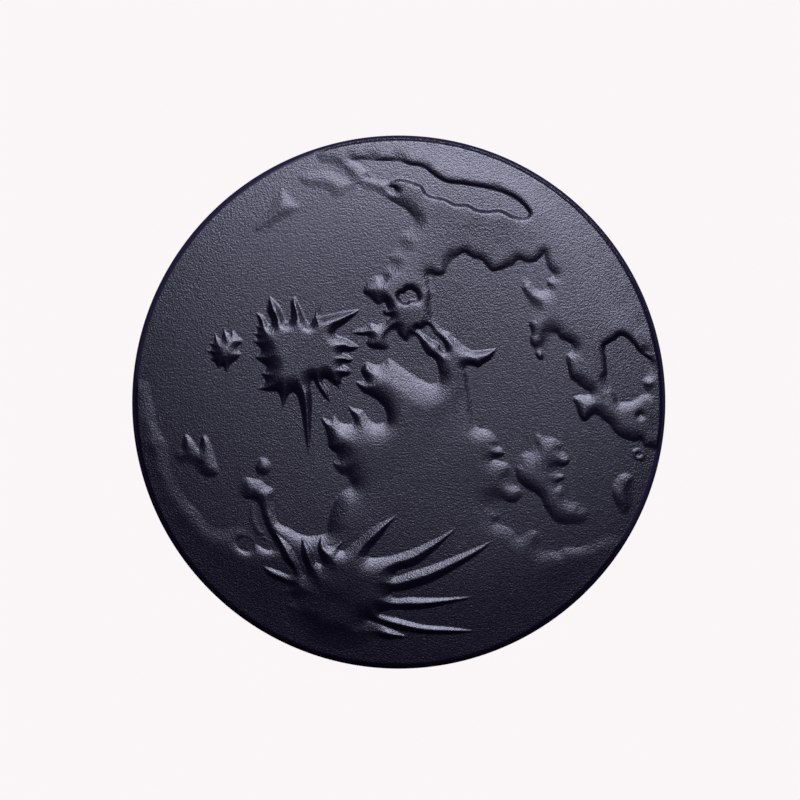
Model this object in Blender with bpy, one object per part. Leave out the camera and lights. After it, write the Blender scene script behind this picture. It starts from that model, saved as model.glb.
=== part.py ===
"""Round pressed ink stick whose domed face carries the full moon in low relief.

The stick lies on its flat back with the face up.  Moon north points along +Y.
Run with: blender --background --python part.py
"""

import math

import bmesh
import bpy

# ---------------------------------------------------------------- sizes, in metres
MM = 0.001

RADIUS = 37.5 * MM
CENTRE_THICKNESS = 11.0 * MM
FACE_FALL = 3.5 * MM
EDGE_ROUND = 1.2 * MM
BACK_CHAMFER = 0.8 * MM

LACQUER_THICKNESS = 0.3 * MM
LACQUER_FOOT = 1.2 * MM
GAP = 0.2 * MM

PLAIN_TO_HIGHLAND = 1.0 * MM
PLAIN_TO_RAY_CRATER = 0.9 * MM
PLAIN_TO_ISLAND = 0.8 * MM
HIGHLAND_TO_RAY_CREST = 0.7 * MM
RELIEF_RIM = RADIUS - EDGE_ROUND - 0.2 * MM

TURN_STEPS = 72
FACE_RINGS = 9
EDGE_STEPS = 4
OUTLINE_DEPTH = 12.0 * MM

INK_BLACK = (0.012, 0.012, 0.020)
LACQUER_BLACK = (0.006, 0.006, 0.009)

# ------------------------------------------------- relief outlines, in millimetres
# A point is (x, y), or (x, y, TIP) where the shore comes to a sharp point.
TIP = True

NORTH_SHORE = [
    (-11.0, 33.7), (-9.6, 33.4), (-8.4, 32.7), (-7.2, 31.6, TIP),
    (-8.3, 32.1), (-9.5, 32.7), (-10.8, 32.9), (-12.4, 32.8), (-13.7, 32.3),
    (-14.0, 31.3), (-13.6, 30.5), (-12.6, 30.0), (-11.4, 29.9), (-10.2, 29.6),
    (-9.3, 28.9), (-8.6, 28.5), (-7.8, 28.8), (-6.9, 29.4), (-5.8, 29.7),
    (-4.5, 29.7), (-3.2, 29.4), (-1.7, 28.6), (-0.4, 27.9), (0.7, 27.3),
    (1.6, 26.5), (2.1, 25.6), (2.3, 24.7), (1.6, 24.3), (0.6, 23.8),
    (-0.1, 22.9), (-0.1, 21.9), (-0.9, 21.2), (-1.5, 20.5), (-1.3, 19.5),
    (-1.9, 19.0), (-2.4, 18.1, TIP), (4.3, 17.9, TIP), (5.0, 17.8), (5.8, 17.8),
    (6.5, 18.1), (6.9, 18.8), (7.4, 19.8), (8.3, 20.5), (9.2, 21.0), (9.9, 20.6),
    (10.6, 20.2), (11.5, 20.0), (12.3, 19.2), (13.1, 18.4), (14.0, 18.5),
    (15.2, 18.9), (16.2, 19.3), (16.8, 20.0), (17.5, 19.8), (18.4, 19.6),
    (19.3, 19.8), (19.9, 20.3), (20.4, 20.8, TIP), (20.7, 19.6), (21.1, 18.6),
    (21.8, 18.0), (21.6, 17.6), (20.8, 17.2), (20.7, 16.5), (20.9, 16.0),
    (20.1, 15.8), (19.3, 16.0), (18.7, 16.8), (18.1, 17.6), (17.3, 17.5),
    (17.0, 16.7), (17.5, 15.6), (18.2, 14.3), (18.6, 13.3), (18.2, 12.1),
    (18.3, 11.0), (18.6, 9.8), (18.4, 8.9), (18.6, 8.1), (19.1, 7.4), (19.3, 6.5),
    (19.9, 5.9), (20.5, 6.4), (20.8, 7.4), (21.3, 8.7), (21.9, 9.8), (22.6, 9.0),
    (23.4, 8.6), (24.1, 8.3), (24.6, 7.7), (24.8, 7.1), (24.1, 6.9), (23.7, 6.3),
    (23.9, 5.2), (24.0, 4.0), (24.2, 3.3), (25.1, 2.6), (26.1, 1.8), (26.9, 1.2),
    (25.9, 1.0), (24.9, 0.9), (24.4, 0.5), (24.9, -0.5), (25.2, -1.6),
    (25.7, -2.5), (26.4, -2.6), (27.0, -2.0), (27.7, -1.7), (28.6, -2.4),
    (29.6, -3.2), (30.3, -4.2), (31.1, -4.9), (32.2, -5.3), (33.2, -5.5),
    (34.1, -5.4), (34.5, -6.2),
]
NORTH_RIM_FROM, NORTH_RIM_TO = -11.0, 109.0

NORTHERN_PLAIN = [
    (-6.6, 34.0, TIP), (-5.0, 34.1), (-3.0, 33.9), (0.0, 33.9), (0.9, 33.6),
    (1.8, 33.3), (2.8, 33.2), (3.6, 32.9), (4.5, 32.2), (5.5, 31.5), (6.4, 31.0),
    (7.4, 30.75), (8.8, 30.6), (10.2, 30.4), (11.6, 30.2), (13.0, 29.9),
    (14.4, 29.5), (15.8, 28.9), (17.0, 28.1), (17.9, 27.2), (18.3, 26.5),
    (18.0, 26.1), (17.3, 26.0), (16.5, 26.15), (15.6, 26.55), (14.7, 27.0),
    (13.8, 27.15), (12.7, 27.0), (11.6, 27.05), (10.7, 27.3), (9.9, 27.8),
    (9.0, 27.95), (8.0, 27.95), (7.2, 28.3), (6.4, 28.7), (5.4, 28.9),
    (4.4, 29.1), (3.8, 29.6), (3.4, 30.35), (2.6, 30.8), (1.6, 31.15),
    (0.4, 31.4), (-0.8, 31.35), (-2.0, 31.2), (-3.1, 31.5), (-3.7, 32.2),
    (-4.4, 32.9), (-5.5, 33.4),
]

EASTERN_PLAIN = [
    (28.9, 7.6), (29.2, 8.1), (29.9, 8.5), (30.5, 8.8), (31.0, 9.3), (31.6, 9.3),
    (32.4, 8.7), (33.0, 8.1), (33.5, 7.4), (34.0, 6.9), (34.6, 6.5), (35.1, 6.0),
    (35.1, 4.8), (34.7, 3.8), (34.2, 3.2), (34.2, 2.3), (34.7, 1.6), (34.9, 1.25),
    (34.1, 1.0), (33.4, 0.5), (32.6, 0.1), (31.8, 0.0), (31.0, 0.0), (30.6, 0.8),
    (30.2, 1.6), (29.6, 2.6), (29.3, 3.6), (29.2, 5.0), (29.05, 6.5),
]

MOUNTAIN_SHORE = [
    (4.3, 17.6, TIP), (-2.4, 17.8, TIP), (-3.3, 17.8), (-4.3, 17.4), (-4.9, 16.5),
    (-5.1, 15.6), (-4.6, 14.9), (-3.8, 14.7), (-3.3, 13.9), (-2.7, 13.6),
    (-2.1, 14.0), (-1.7, 13.4), (-2.3, 12.9), (-2.1, 12.4), (-1.2, 12.2),
    (-1.6, 11.6), (-2.5, 11.0), (-3.3, 10.9), (-4.0, 11.1), (-4.5, 10.6),
    (-5.4, 10.3), (-6.9, 9.8, TIP), (-5.5, 9.4), (-4.2, 9.2), (-4.6, 8.4),
    (-4.1, 7.7), (-2.7, 7.4), (-1.4, 7.5), (-1.0, 8.3), (-0.6, 9.2), (-0.1, 9.6),
    (0.4, 8.9), (1.1, 8.6), (1.7, 9.1), (2.4, 9.1), (3.0, 8.4), (3.4, 7.6),
    (4.0, 6.7), (4.9, 6.2), (5.4, 5.4), (5.6, 4.3), (5.7, 3.2, TIP),
    (9.95, 3.2, TIP), (9.8, 4.2), (9.6, 5.0), (10.4, 5.1), (11.2, 4.9),
    (11.9, 5.4), (12.7, 5.9), (13.3, 6.6), (13.7, 7.6, TIP), (12.8, 7.4),
    (11.9, 7.3), (10.8, 7.2), (9.9, 7.4), (9.1, 7.9), (8.4, 8.5), (7.7, 9.2),
    (7.0, 9.9), (6.2, 10.2), (5.7, 10.7), (5.3, 11.4), (5.2, 12.5), (5.3, 14.0),
    (5.3, 15.3), (5.1, 16.4), (4.7, 17.2),
]

RING_PIT = [
    (0.0, 15.0), (0.3, 15.3), (0.8, 15.3), (1.1, 15.7), (1.7, 15.8), (2.3, 15.5),
    (2.6, 15.0), (2.6, 14.5), (2.0, 14.4), (1.5, 14.3), (1.0, 14.0), (0.5, 14.2),
    (0.2, 14.6),
]

SLOT_PIT = [
    (2.5, 10.3), (3.2, 10.3), (3.7, 10.7), (4.2, 10.8), (4.7, 10.3), (5.0, 9.6),
    (5.7, 9.0), (6.2, 8.5), (6.6, 7.6), (6.5, 7.2), (6.1, 7.4), (5.7, 8.1),
    (5.2, 8.5), (4.5, 8.8), (3.9, 9.2), (3.2, 9.8),
]

SOUTH_SHORE = [
    (-17.6, -20.2, TIP), (-17.6, -19.4), (-18.2, -18.4), (-18.7, -17.4),
    (-19.1, -16.3), (-19.4, -15.2), (-19.8, -14.2), (-20.5, -13.7),
    (-21.4, -13.6), (-22.4, -13.0), (-22.7, -12.1), (-22.5, -11.2),
    (-22.0, -10.7), (-21.2, -10.55), (-20.3, -10.8), (-19.4, -10.9),
    (-18.6, -11.7), (-17.8, -12.0), (-17.4, -12.6), (-17.5, -13.8),
    (-17.4, -15.2), (-17.1, -16.6), (-16.4, -17.3), (-15.4, -17.7),
    (-14.4, -18.3), (-13.4, -18.7), (-12.4, -18.85), (-11.2, -18.7),
    (-10.1, -18.3), (-10.0, -17.2), (-9.7, -15.8), (-9.3, -14.5), (-8.9, -13.4),
    (-8.2, -12.6), (-7.3, -12.1), (-6.6, -11.8), (-7.0, -11.2), (-7.3, -10.4),
    (-8.1, -10.1), (-8.9, -9.3), (-9.2, -8.5), (-8.6, -8.1), (-8.7, -7.3),
    (-9.2, -6.9), (-9.8, -6.3), (-10.0, -5.0), (-10.3, -3.8), (-10.8, -2.7),
    (-10.8, -1.7, TIP), (-10.1, -2.5), (-9.6, -2.5), (-9.1, -1.9), (-8.6, -2.5),
    (-8.0, -2.95), (-7.2, -3.1), (-6.35, -2.9), (-6.5, -2.0), (-6.9, -1.2),
    (-7.4, -0.1, TIP), (-6.7, -0.7), (-6.0, -0.95), (-5.2, -1.1), (-4.7, -1.8),
    (-4.1, -2.5), (-3.4, -3.0), (-2.5, -3.05), (-1.75, -2.8), (-1.65, -1.9),
    (-1.9, -1.0), (-2.5, -0.2), (-3.3, 0.5), (-4.2, 1.0), (-5.0, 1.4),
    (-5.7, 2.2), (-6.1, 2.95, TIP), (-5.2, 2.85), (-4.7, 3.1), (-5.0, 3.7),
    (-5.3, 4.4), (-5.0, 5.2), (-4.5, 5.6), (-3.6, 5.3), (-2.7, 5.25),
    (-1.95, 5.6), (-1.5, 6.15), (-0.8, 5.8), (0.0, 5.2), (0.8, 4.65),
    (1.7, 4.05), (2.6, 3.45), (3.4, 3.0), (4.2, 2.65), (5.0, 2.6),
    (5.6, 2.9, TIP), (10.0, 2.9, TIP), (10.2, 1.8), (10.35, 0.5), (10.6, -0.8),
    (10.85, -2.0), (11.3, -3.1), (11.9, -3.65), (12.7, -4.0), (13.4, -4.7),
    (13.9, -5.5), (13.9, -6.2), (14.4, -6.5), (14.8, -7.3), (14.3, -7.7),
    (13.3, -7.85, TIP), (14.2, -8.05), (15.0, -8.35), (15.6, -9.0), (15.9, -9.9),
    (15.9, -10.9), (16.0, -11.6), (16.8, -11.9), (17.3, -12.6), (17.2, -13.3),
    (16.5, -13.9), (15.6, -14.1), (14.4, -13.9), (13.8, -14.6), (14.5, -15.2),
    (14.6, -15.9), (13.9, -16.5), (13.6, -17.0), (14.4, -17.2), (15.3, -17.7),
    (16.2, -18.0), (16.9, -18.6), (17.5, -18.7), (18.0, -18.2), (18.8, -18.1),
    (19.6, -18.3), (20.2, -19.0), (20.2, -20.2), (20.8, -20.8), (21.6, -20.8),
    (22.4, -20.9), (23.2, -20.3), (24.2, -20.3), (25.3, -20.3), (26.4, -20.0),
    (27.2, -19.4), (28.2, -19.0), (29.6, -18.8),
]
SOUTH_RIM_FROM, SOUTH_RIM_TO = -31.0, -124.0

WEST_SHORE = [
    (-35.2, 2.9), (-34.8, 1.2), (-34.3, -0.6), (-34.1, -2.5), (-33.4, -4.4),
    (-32.5, -5.6), (-32.3, -7.5), (-32.0, -9.3), (-31.2, -11.0), (-30.4, -12.5),
    (-29.4, -13.9), (-28.3, -15.0), (-27.4, -16.2), (-26.4, -17.3),
    (-25.3, -17.2), (-24.2, -17.7), (-23.3, -18.5), (-23.3, -19.4),
    (-23.5, -20.1), (-22.8, -20.2), (-21.9, -20.9), (-20.9, -21.3),
    (-20.3, -20.9), (-19.8, -20.2), (-19.2, -20.3), (-18.4, -20.6),
    (-17.9, -20.5, TIP),
]
WEST_RIM_FROM, WEST_RIM_TO = -124.7, -185.0

SOUTH_EAST_ISLAND = [
    (16.25, -8.1), (16.6, -7.6), (17.3, -7.1), (17.9, -6.9), (18.6, -6.5),
    (19.0, -5.0), (19.1, -4.2), (19.4, -3.8), (19.8, -4.2), (20.2, -4.8),
    (21.0, -4.8), (21.8, -4.9), (22.4, -5.3), (23.0, -5.9), (22.9, -6.7),
    (23.5, -7.1), (24.1, -7.9), (23.7, -8.8), (22.8, -9.1), (22.4, -9.5),
    (23.2, -10.1), (23.2, -10.8), (22.3, -11.4), (23.1, -11.9), (23.4, -12.6),
    (23.6, -13.3), (24.2, -13.9), (25.2, -14.0), (25.8, -14.6), (26.7, -15.2),
    (26.6, -16.5), (26.0, -17.1), (25.0, -17.2), (23.6, -17.2), (22.4, -17.0),
    (21.6, -16.5), (20.9, -15.3), (20.4, -14.6), (20.0, -13.6), (19.3, -12.9),
    (18.5, -12.4), (17.8, -12.0), (17.2, -11.5), (16.7, -11.0), (16.4, -10.2),
    (16.3, -9.2),
]

EAST_ISLAND = [
    (31.8, -9.9), (32.9, -10.2), (33.4, -11.2), (33.3, -12.8), (32.9, -14.4),
    (32.2, -15.6), (31.4, -15.8), (30.8, -15.0), (30.2, -13.8), (29.9, -12.6),
    (30.1, -11.4), (30.8, -10.4),
]

EAST_RING_CRATER = [
    (32.7, -7.3), (32.8, -6.7), (33.6, -6.4), (34.3, -6.7), (34.7, -7.5),
    (34.5, -8.2), (33.8, -8.3), (33.1, -8.0),
]

NORTH_WEST_ISLAND = [
    (-16.4, 30.5), (-17.5, 29.2), (-18.5, 27.6), (-19.5, 26.2), (-20.4, 24.8),
    (-20.0, 23.8), (-18.6, 24.2), (-16.6, 25.2), (-14.6, 26.3), (-13.6, 27.4),
    (-14.7, 28.7), (-15.7, 29.8),
]

WEST_ISLAND = [
    (-30.1, -4.5), (-29.4, -4.8), (-28.8, -5.5), (-28.3, -6.3), (-28.0, -6.4),
    (-27.9, -5.5), (-27.6, -4.7), (-27.1, -4.7), (-26.6, -5.4), (-26.2, -6.4),
    (-25.8, -7.5), (-25.5, -8.4), (-25.2, -9.3), (-25.4, -10.2), (-26.6, -10.6),
    (-27.5, -10.3), (-28.4, -9.8), (-29.0, -9.0), (-30.2, -8.7), (-31.3, -8.4),
    (-31.8, -7.4), (-31.4, -6.5), (-30.7, -6.2), (-30.4, -5.5),
]

WEST_KNOLL = [
    (-20.0, -8.3), (-19.4, -7.7), (-18.5, -7.9), (-17.9, -8.7), (-17.9, -9.7),
    (-18.6, -10.3), (-19.7, -10.2), (-20.3, -9.3),
]

BASIN_KNOLL = [
    (-20.9, -14.2), (-20.4, -14.1), (-20.0, -15.0), (-19.8, -16.2),
    (-19.3, -17.4), (-18.6, -18.3), (-18.9, -19.0), (-20.0, -18.8),
    (-20.8, -17.6), (-21.2, -16.0),
]

LARGE_RAY_CRATER = [
    (-18.2, 15.0, TIP), (-17.3, 14.2), (-16.5, 13.2), (-15.5, 11.4),
    (-15.2, 14.2), (-14.6, 15.0, TIP), (-14.1, 14.1), (-13.6, 13.1),
    (-12.6, 11.1), (-12.1, 11.6), (-11.4, 13.4), (-10.2, 15.5, TIP),
    (-11.0, 13.2), (-11.2, 12.1), (-10.3, 12.2), (-8.0, 12.7), (-5.3, 13.1, TIP),
    (-6.2, 12.1), (-7.5, 11.0), (-8.9, 9.7), (-7.3, 8.9), (-5.5, 7.8, TIP),
    (-6.6, 7.1), (-7.9, 7.0), (-7.2, 6.6), (-6.3, 6.0, TIP), (-7.0, 5.5),
    (-7.9, 5.4), (-7.2, 4.9), (-6.6, 4.2, TIP), (-7.2, 3.7), (-8.0, 3.4),
    (-7.6, 2.2, TIP), (-8.2, 2.6), (-8.3, 1.8, TIP), (-9.3, 2.6), (-10.6, 3.3),
    (-9.9, 1.6), (-9.5, -0.1, TIP), (-10.4, 0.6), (-11.4, 2.0), (-12.2, 3.1),
    (-12.1, 1.0), (-12.2, -3.0), (-12.65, -7.9, TIP), (-13.3, -4.0),
    (-14.0, 0.0), (-14.7, 1.4), (-15.4, 1.1), (-16.3, -1.0, TIP), (-16.9, 1.3),
    (-18.2, 1.5), (-20.0, 1.8, TIP), (-18.7, 2.9), (-19.4, 4.0, TIP),
    (-18.5, 4.8), (-19.3, 5.6), (-20.3, 6.3, TIP), (-19.3, 7.2),
    (-20.6, 8.7, TIP), (-19.8, 9.0), (-20.7, 9.7, TIP), (-19.8, 9.9),
    (-20.1, 10.8, TIP), (-19.6, 11.0), (-20.1, 12.6, TIP), (-19.1, 12.2),
    (-18.0, 11.0), (-18.5, 12.9),
]

SMALL_RAY_CRATER = [
    (-25.9, 9.9, TIP), (-25.0, 8.9), (-24.7, 10.8, TIP), (-23.9, 9.6),
    (-23.3, 10.1, TIP), (-22.6, 9.3), (-21.8, 8.6, TIP), (-22.6, 7.6),
    (-22.1, 6.7, TIP), (-22.7, 6.0), (-23.6, 5.3), (-24.2, 4.1, TIP),
    (-24.7, 5.0), (-25.4, 4.8, TIP), (-25.8, 5.5), (-26.4, 5.9, TIP),
    (-26.2, 6.6), (-27.4, 7.3, TIP), (-26.2, 7.6), (-26.7, 8.3, TIP),
    (-26.0, 8.5),
]

SOUTHERN_RAY_CRATER = [
    (-0.2, -15.8, TIP), (-1.4, -17.4), (-2.7, -19.2), (-4.3, -21.5), (-2.5, -21.8),
    (0.0, -21.3), (3.0, -20.2), (6.0, -18.8), (8.4, -17.4, TIP), (7.0, -18.9),
    (5.2, -20.7), (2.4, -22.9), (-0.7, -24.2), (2.0, -23.7), (6.0, -22.4),
    (10.0, -20.8), (13.3, -19.4, TIP), (11.2, -21.3), (8.0, -23.4), (4.5, -25.3),
    (1.0, -26.4), (-1.2, -27.1), (1.5, -27.4), (6.0, -27.5), (11.5, -27.2, TIP),
    (7.5, -28.2), (3.0, -29.1), (-2.5, -29.5), (0.0, -30.4), (3.5, -31.3),
    (7.0, -31.6), (11.5, -32.2, TIP), (7.0, -32.6), (3.0, -32.5), (-1.0, -31.7),
    (-4.2, -30.6), (-2.0, -31.5), (2.2, -33.1, TIP), (-1.0, -33.4), (-4.5, -32.3),
    (-5.9, -32.2), (-3.4, -33.6, TIP), (-6.3, -33.3), (-9.0, -32.8),
    (-12.0, -31.2), (-14.0, -29.4), (-16.6, -28.4, TIP), (-14.7, -27.7),
    (-17.0, -26.5, TIP), (-15.4, -26.0), (-18.0, -24.6), (-19.3, -22.9, TIP),
    (-17.0, -23.6), (-14.9, -24.1), (-16.2, -22.1), (-17.5, -18.1, TIP),
    (-15.2, -20.3), (-14.2, -22.2), (-13.1, -24.2), (-13.7, -21.3),
    (-13.6, -18.8, TIP), (-12.3, -20.4), (-11.0, -22.8), (-11.4, -20.5),
    (-10.9, -18.8, TIP), (-9.8, -20.3), (-7.6, -19.3, TIP), (-8.3, -20.9),
    (-6.2, -19.7), (-3.6, -17.6),
]


# ------------------------------------------------------------------ small helpers
def clear_scene():
    for old in list(bpy.data.objects):
        bpy.data.objects.remove(old, do_unlink=True)


def plain_height(radius):
    """Height of the moon's plains: a dome that falls faster near the rim."""
    share = radius / RADIUS
    return CENTRE_THICKNESS - FACE_FALL * (0.6 * share ** 2 + 0.4 * share ** 4)


def make_material(name, colour, roughness, coat=0.0):
    material = bpy.data.materials.new(name)
    material.use_nodes = True
    shader = material.node_tree.nodes["Principled BSDF"]
    shader.inputs["Base Color"].default_value = (*colour, 1.0)
    shader.inputs["Roughness"].default_value = roughness
    shader.inputs["Metallic"].default_value = 0.0
    shader.inputs["Coat Weight"].default_value = coat
    material.diffuse_color = (*colour, 1.0)
    return material


def finish_object(name, mesh, material=None):
    thing = bpy.data.objects.new(name, mesh)
    bpy.context.collection.objects.link(thing)
    mesh.shade_smooth()
    mesh.set_sharp_from_angle(angle=math.radians(35))
    if material:
        mesh.materials.append(material)
    return thing


def turned_mesh(name, profile):
    """Spin a profile of (radius, height) points, listed anticlockwise, round Z."""
    shape = bmesh.new()
    points = [shape.verts.new((radius, 0.0, height)) for radius, height in profile]
    edges = [shape.edges.new(pair) for pair in zip(points, points[1:])]
    if profile[0][0] > 0.0:
        edges.append(shape.edges.new((points[-1], points[0])))
    bmesh.ops.spin(
        shape,
        geom=points + edges,
        cent=(0.0, 0.0, 0.0),
        axis=(0.0, 0.0, 1.0),
        angle=math.tau,
        steps=TURN_STEPS,
        use_merge=True,
    )
    bmesh.ops.remove_doubles(shape, verts=shape.verts, dist=0.005 * MM)
    bmesh.ops.recalc_face_normals(shape, faces=shape.faces)
    mesh = bpy.data.meshes.new(name)
    shape.to_mesh(mesh)
    shape.free()
    return mesh


def face_points(lift, outer_radius):
    """Points along the domed face from the middle to the given radius."""
    radii = [outer_radius * ring / FACE_RINGS for ring in range(FACE_RINGS + 1)]
    return [(radius, plain_height(radius) + lift) for radius in radii]


def round_edge_points(inset):
    """Points over the rounded edge, from the face out to the side."""
    centre_radius = RADIUS - EDGE_ROUND
    centre_height = plain_height(centre_radius) - EDGE_ROUND
    reach = EDGE_ROUND - inset
    points = []
    for step in range(EDGE_STEPS + 1):
        turn = math.radians(90.0 * (1.0 - step / EDGE_STEPS))
        across = centre_radius + reach * math.cos(turn)
        points.append((across, centre_height + reach * math.sin(turn)))
    return points


# ------------------------------------------------------------------- block and edge
def make_ink_block(material):
    shelf = RADIUS - EDGE_ROUND - GAP
    side = RADIUS - LACQUER_THICKNESS - GAP
    under_lacquer = round_edge_points(LACQUER_THICKNESS + GAP)
    foot = LACQUER_FOOT - GAP
    profile = face_points(0.0, shelf)
    profile += [(shelf, under_lacquer[0][1])]
    profile += under_lacquer[1:]
    profile += [(side, foot), (RADIUS, foot), (RADIUS, BACK_CHAMFER)]
    profile += [(RADIUS - BACK_CHAMFER, 0.0), (0.0, 0.0)]
    return finish_object("ink_block", turned_mesh("ink_block", profile), material)


def make_edge_lacquer(material):
    outside = round_edge_points(0.0)
    inside = round_edge_points(LACQUER_THICKNESS)
    profile = outside + [(RADIUS, LACQUER_FOOT)]
    profile += [(RADIUS - LACQUER_THICKNESS, LACQUER_FOOT)]
    profile += list(reversed(inside))
    return finish_object("edge_lacquer", turned_mesh("edge_lacquer", profile), material)


# --------------------------------------------------------------------------- relief
def rim_arc(start_degrees, end_degrees, steps):
    """Points along the outer limit of the relief, in millimetres."""
    points = []
    for step in range(steps + 1):
        turn = math.radians(start_degrees + (end_degrees - start_degrees) * step / steps)
        across = RELIEF_RIM / MM * math.cos(turn)
        along = RELIEF_RIM / MM * math.sin(turn)
        ends = step in (0, steps)
        points.append((across, along, TIP) if ends else (across, along))
    return points


def outline_mesh(name, outlines, fineness):
    """Upright prism over one or more closed outlines; inner outlines are holes."""
    curve = bpy.data.curves.new(name, "CURVE")
    curve.dimensions = "2D"
    curve.fill_mode = "BOTH"
    curve.extrude = OUTLINE_DEPTH / 2
    curve.resolution_u = fineness
    for outline in outlines:
        spline = curve.splines.new("BEZIER")
        spline.bezier_points.add(len(outline) - 1)
        spline.use_cyclic_u = True
        for knot, point in zip(spline.bezier_points, outline):
            handle = "VECTOR" if len(point) == 3 else "AUTO"
            knot.co = (point[0] * MM, point[1] * MM, 0.0)
            knot.handle_left_type = handle
            knot.handle_right_type = handle
    guide = bpy.data.objects.new(name, curve)
    bpy.context.collection.objects.link(guide)
    depsgraph = bpy.context.evaluated_depsgraph_get()
    mesh = bpy.data.meshes.new_from_object(guide.evaluated_get(depsgraph))
    bpy.data.objects.remove(guide, do_unlink=True)

    shape = bmesh.new()
    shape.from_mesh(mesh)
    bmesh.ops.remove_doubles(shape, verts=shape.verts, dist=0.01 * MM)
    bmesh.ops.recalc_face_normals(shape, faces=shape.faces)
    bmesh.ops.translate(shape, verts=shape.verts, vec=(0.0, 0.0, CENTRE_THICKNESS))
    shape.to_mesh(mesh)
    shape.free()
    mesh.name = name
    return mesh


def make_layer(name, bottom, top):
    """Domed layer that the relief pieces are cut from."""
    upper = face_points(top, RELIEF_RIM + 0.1 * MM)
    lower = face_points(bottom, RELIEF_RIM + 0.1 * MM)
    layer = finish_object(name, turned_mesh(name, upper + list(reversed(lower))))
    layer.hide_render = True
    layer.display_type = "WIRE"
    return layer


def make_relief(name, outlines, layer, material, fineness=2):
    piece = finish_object(name, outline_mesh(name, outlines, fineness), material)
    cut = piece.modifiers.new("domed_layer", "BOOLEAN")
    cut.operation = "INTERSECT"
    cut.solver = "EXACT"
    cut.object = layer
    return piece


def main():
    clear_scene()
    pressed_ink = make_material("pressed_ink", INK_BLACK, 0.5)
    lacquer = make_material("edge_lacquer", LACQUER_BLACK, 0.3, coat=0.3)
    raised_ink = make_material("raised_ink", INK_BLACK, 0.5)

    make_ink_block(pressed_ink)
    make_edge_lacquer(lacquer)

    highland = make_layer("highland_layer", GAP, PLAIN_TO_HIGHLAND)
    crater = make_layer("crater_layer", GAP, PLAIN_TO_RAY_CRATER)
    island = make_layer("island_layer", GAP, PLAIN_TO_ISLAND)
    ray_foot = PLAIN_TO_HIGHLAND + GAP
    rays = make_layer("ray_layer", ray_foot, ray_foot + HIGHLAND_TO_RAY_CREST)

    north = NORTH_SHORE + rim_arc(NORTH_RIM_FROM, NORTH_RIM_TO, 30)
    south = SOUTH_SHORE + rim_arc(SOUTH_RIM_FROM, SOUTH_RIM_TO, 24)
    west = WEST_SHORE + rim_arc(WEST_RIM_FROM, WEST_RIM_TO, 16)
    north_outlines = [north, NORTHERN_PLAIN, EASTERN_PLAIN]
    make_relief("north_highland", north_outlines, highland, raised_ink)
    mountain_outlines = [MOUNTAIN_SHORE, RING_PIT, SLOT_PIT]
    make_relief("mountain_range", mountain_outlines, highland, raised_ink)
    make_relief("south_highland", [south], highland, raised_ink)
    make_relief("west_limb_highland", [west], highland, raised_ink)
    make_relief("large_ray_crater", [LARGE_RAY_CRATER], crater, raised_ink)
    make_relief("small_ray_crater", [SMALL_RAY_CRATER], crater, raised_ink)
    make_relief("southern_ray_crater", [SOUTHERN_RAY_CRATER], rays, raised_ink)
    make_relief("south_east_island", [SOUTH_EAST_ISLAND], island, raised_ink)
    make_relief("east_island", [EAST_ISLAND], island, raised_ink)
    make_relief("east_ring_crater", [EAST_RING_CRATER], island, raised_ink)
    make_relief("north_west_island", [NORTH_WEST_ISLAND], island, raised_ink)
    make_relief("west_island", [WEST_ISLAND], island, raised_ink)
    make_relief("west_knoll", [WEST_KNOLL], island, raised_ink)
    make_relief("basin_knoll", [BASIN_KNOLL], island, raised_ink)


main()
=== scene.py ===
"""Looks, light and camera for a round pressed ink stick with the full moon on its face."""

import math

import bpy
import numpy as np
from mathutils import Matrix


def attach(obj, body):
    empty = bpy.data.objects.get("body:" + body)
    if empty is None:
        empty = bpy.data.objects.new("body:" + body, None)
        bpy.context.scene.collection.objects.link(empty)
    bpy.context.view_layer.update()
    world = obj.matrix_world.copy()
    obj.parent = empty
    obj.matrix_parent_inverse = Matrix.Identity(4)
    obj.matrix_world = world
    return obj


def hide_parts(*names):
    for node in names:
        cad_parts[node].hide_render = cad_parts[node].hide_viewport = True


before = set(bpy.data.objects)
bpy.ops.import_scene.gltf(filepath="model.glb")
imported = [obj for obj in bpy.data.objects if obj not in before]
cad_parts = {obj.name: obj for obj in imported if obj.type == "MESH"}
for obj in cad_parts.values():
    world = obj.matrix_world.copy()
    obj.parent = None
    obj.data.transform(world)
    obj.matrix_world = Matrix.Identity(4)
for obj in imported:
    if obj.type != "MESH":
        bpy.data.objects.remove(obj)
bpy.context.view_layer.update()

# ------------------------------------------------------------- sizes, in millimetres
MM = 0.001
RADIUS = 37.5
CENTRE_THICKNESS = 11.0
FACE_FALL = 3.5
EVEN_FALL, RIM_FALL = 0.6, 0.4
EDGE_ROUND = 1.0
BACK_CHAMFER = 0.8
LACQUER_THICKNESS = 0.3
LACQUER_FOOT = 1.2
RELIEF_RIM = 37.05
RIM_FADE = 0.4

TURN_STEPS = 288
FACE_RINGS = 44
EDGE_STEPS = 10

# The relief is worked out on a square net of points over the face.
STEP = 0.1
HALF_NET = 376
AXIS = np.arange(-HALF_NET, HALF_NET + 1) * STEP
ACROSS, ALONG = np.meshgrid(AXIS, AXIS)
FROM_CENTRE = np.hypot(ACROSS, ALONG)

# Distances from the coasts are worked out this far.
SHORE_REACH = 7.5

# A skirt carries each piece on past its foot and down into the block, so that no gap shows.
SKIRT = 0.35
SKIRT_START = 0.1
SKIRT_SLOPE = 0.35
RELIEF_DEPTH = 0.3
FACE_MARGIN = 0.12
MOST_TRIANGLES = 190000

# Spun bodies are closed up and smoothed with these.
MERGE_DISTANCE = 0.005
THINNEST_EDGE = 0.0001
CREASE_ANGLE = 35.0

# Places of the values in a spot of LAND_SLOPES, and how closely each spot keeps to itself.
WIDTH, HEIGHT, FOOT, SHOULDER = 2, 3, 4, 5
CLOSE_BLEND = (0.05, 2.0)
BROAD_BLEND = (3.0, 1.5)

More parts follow.
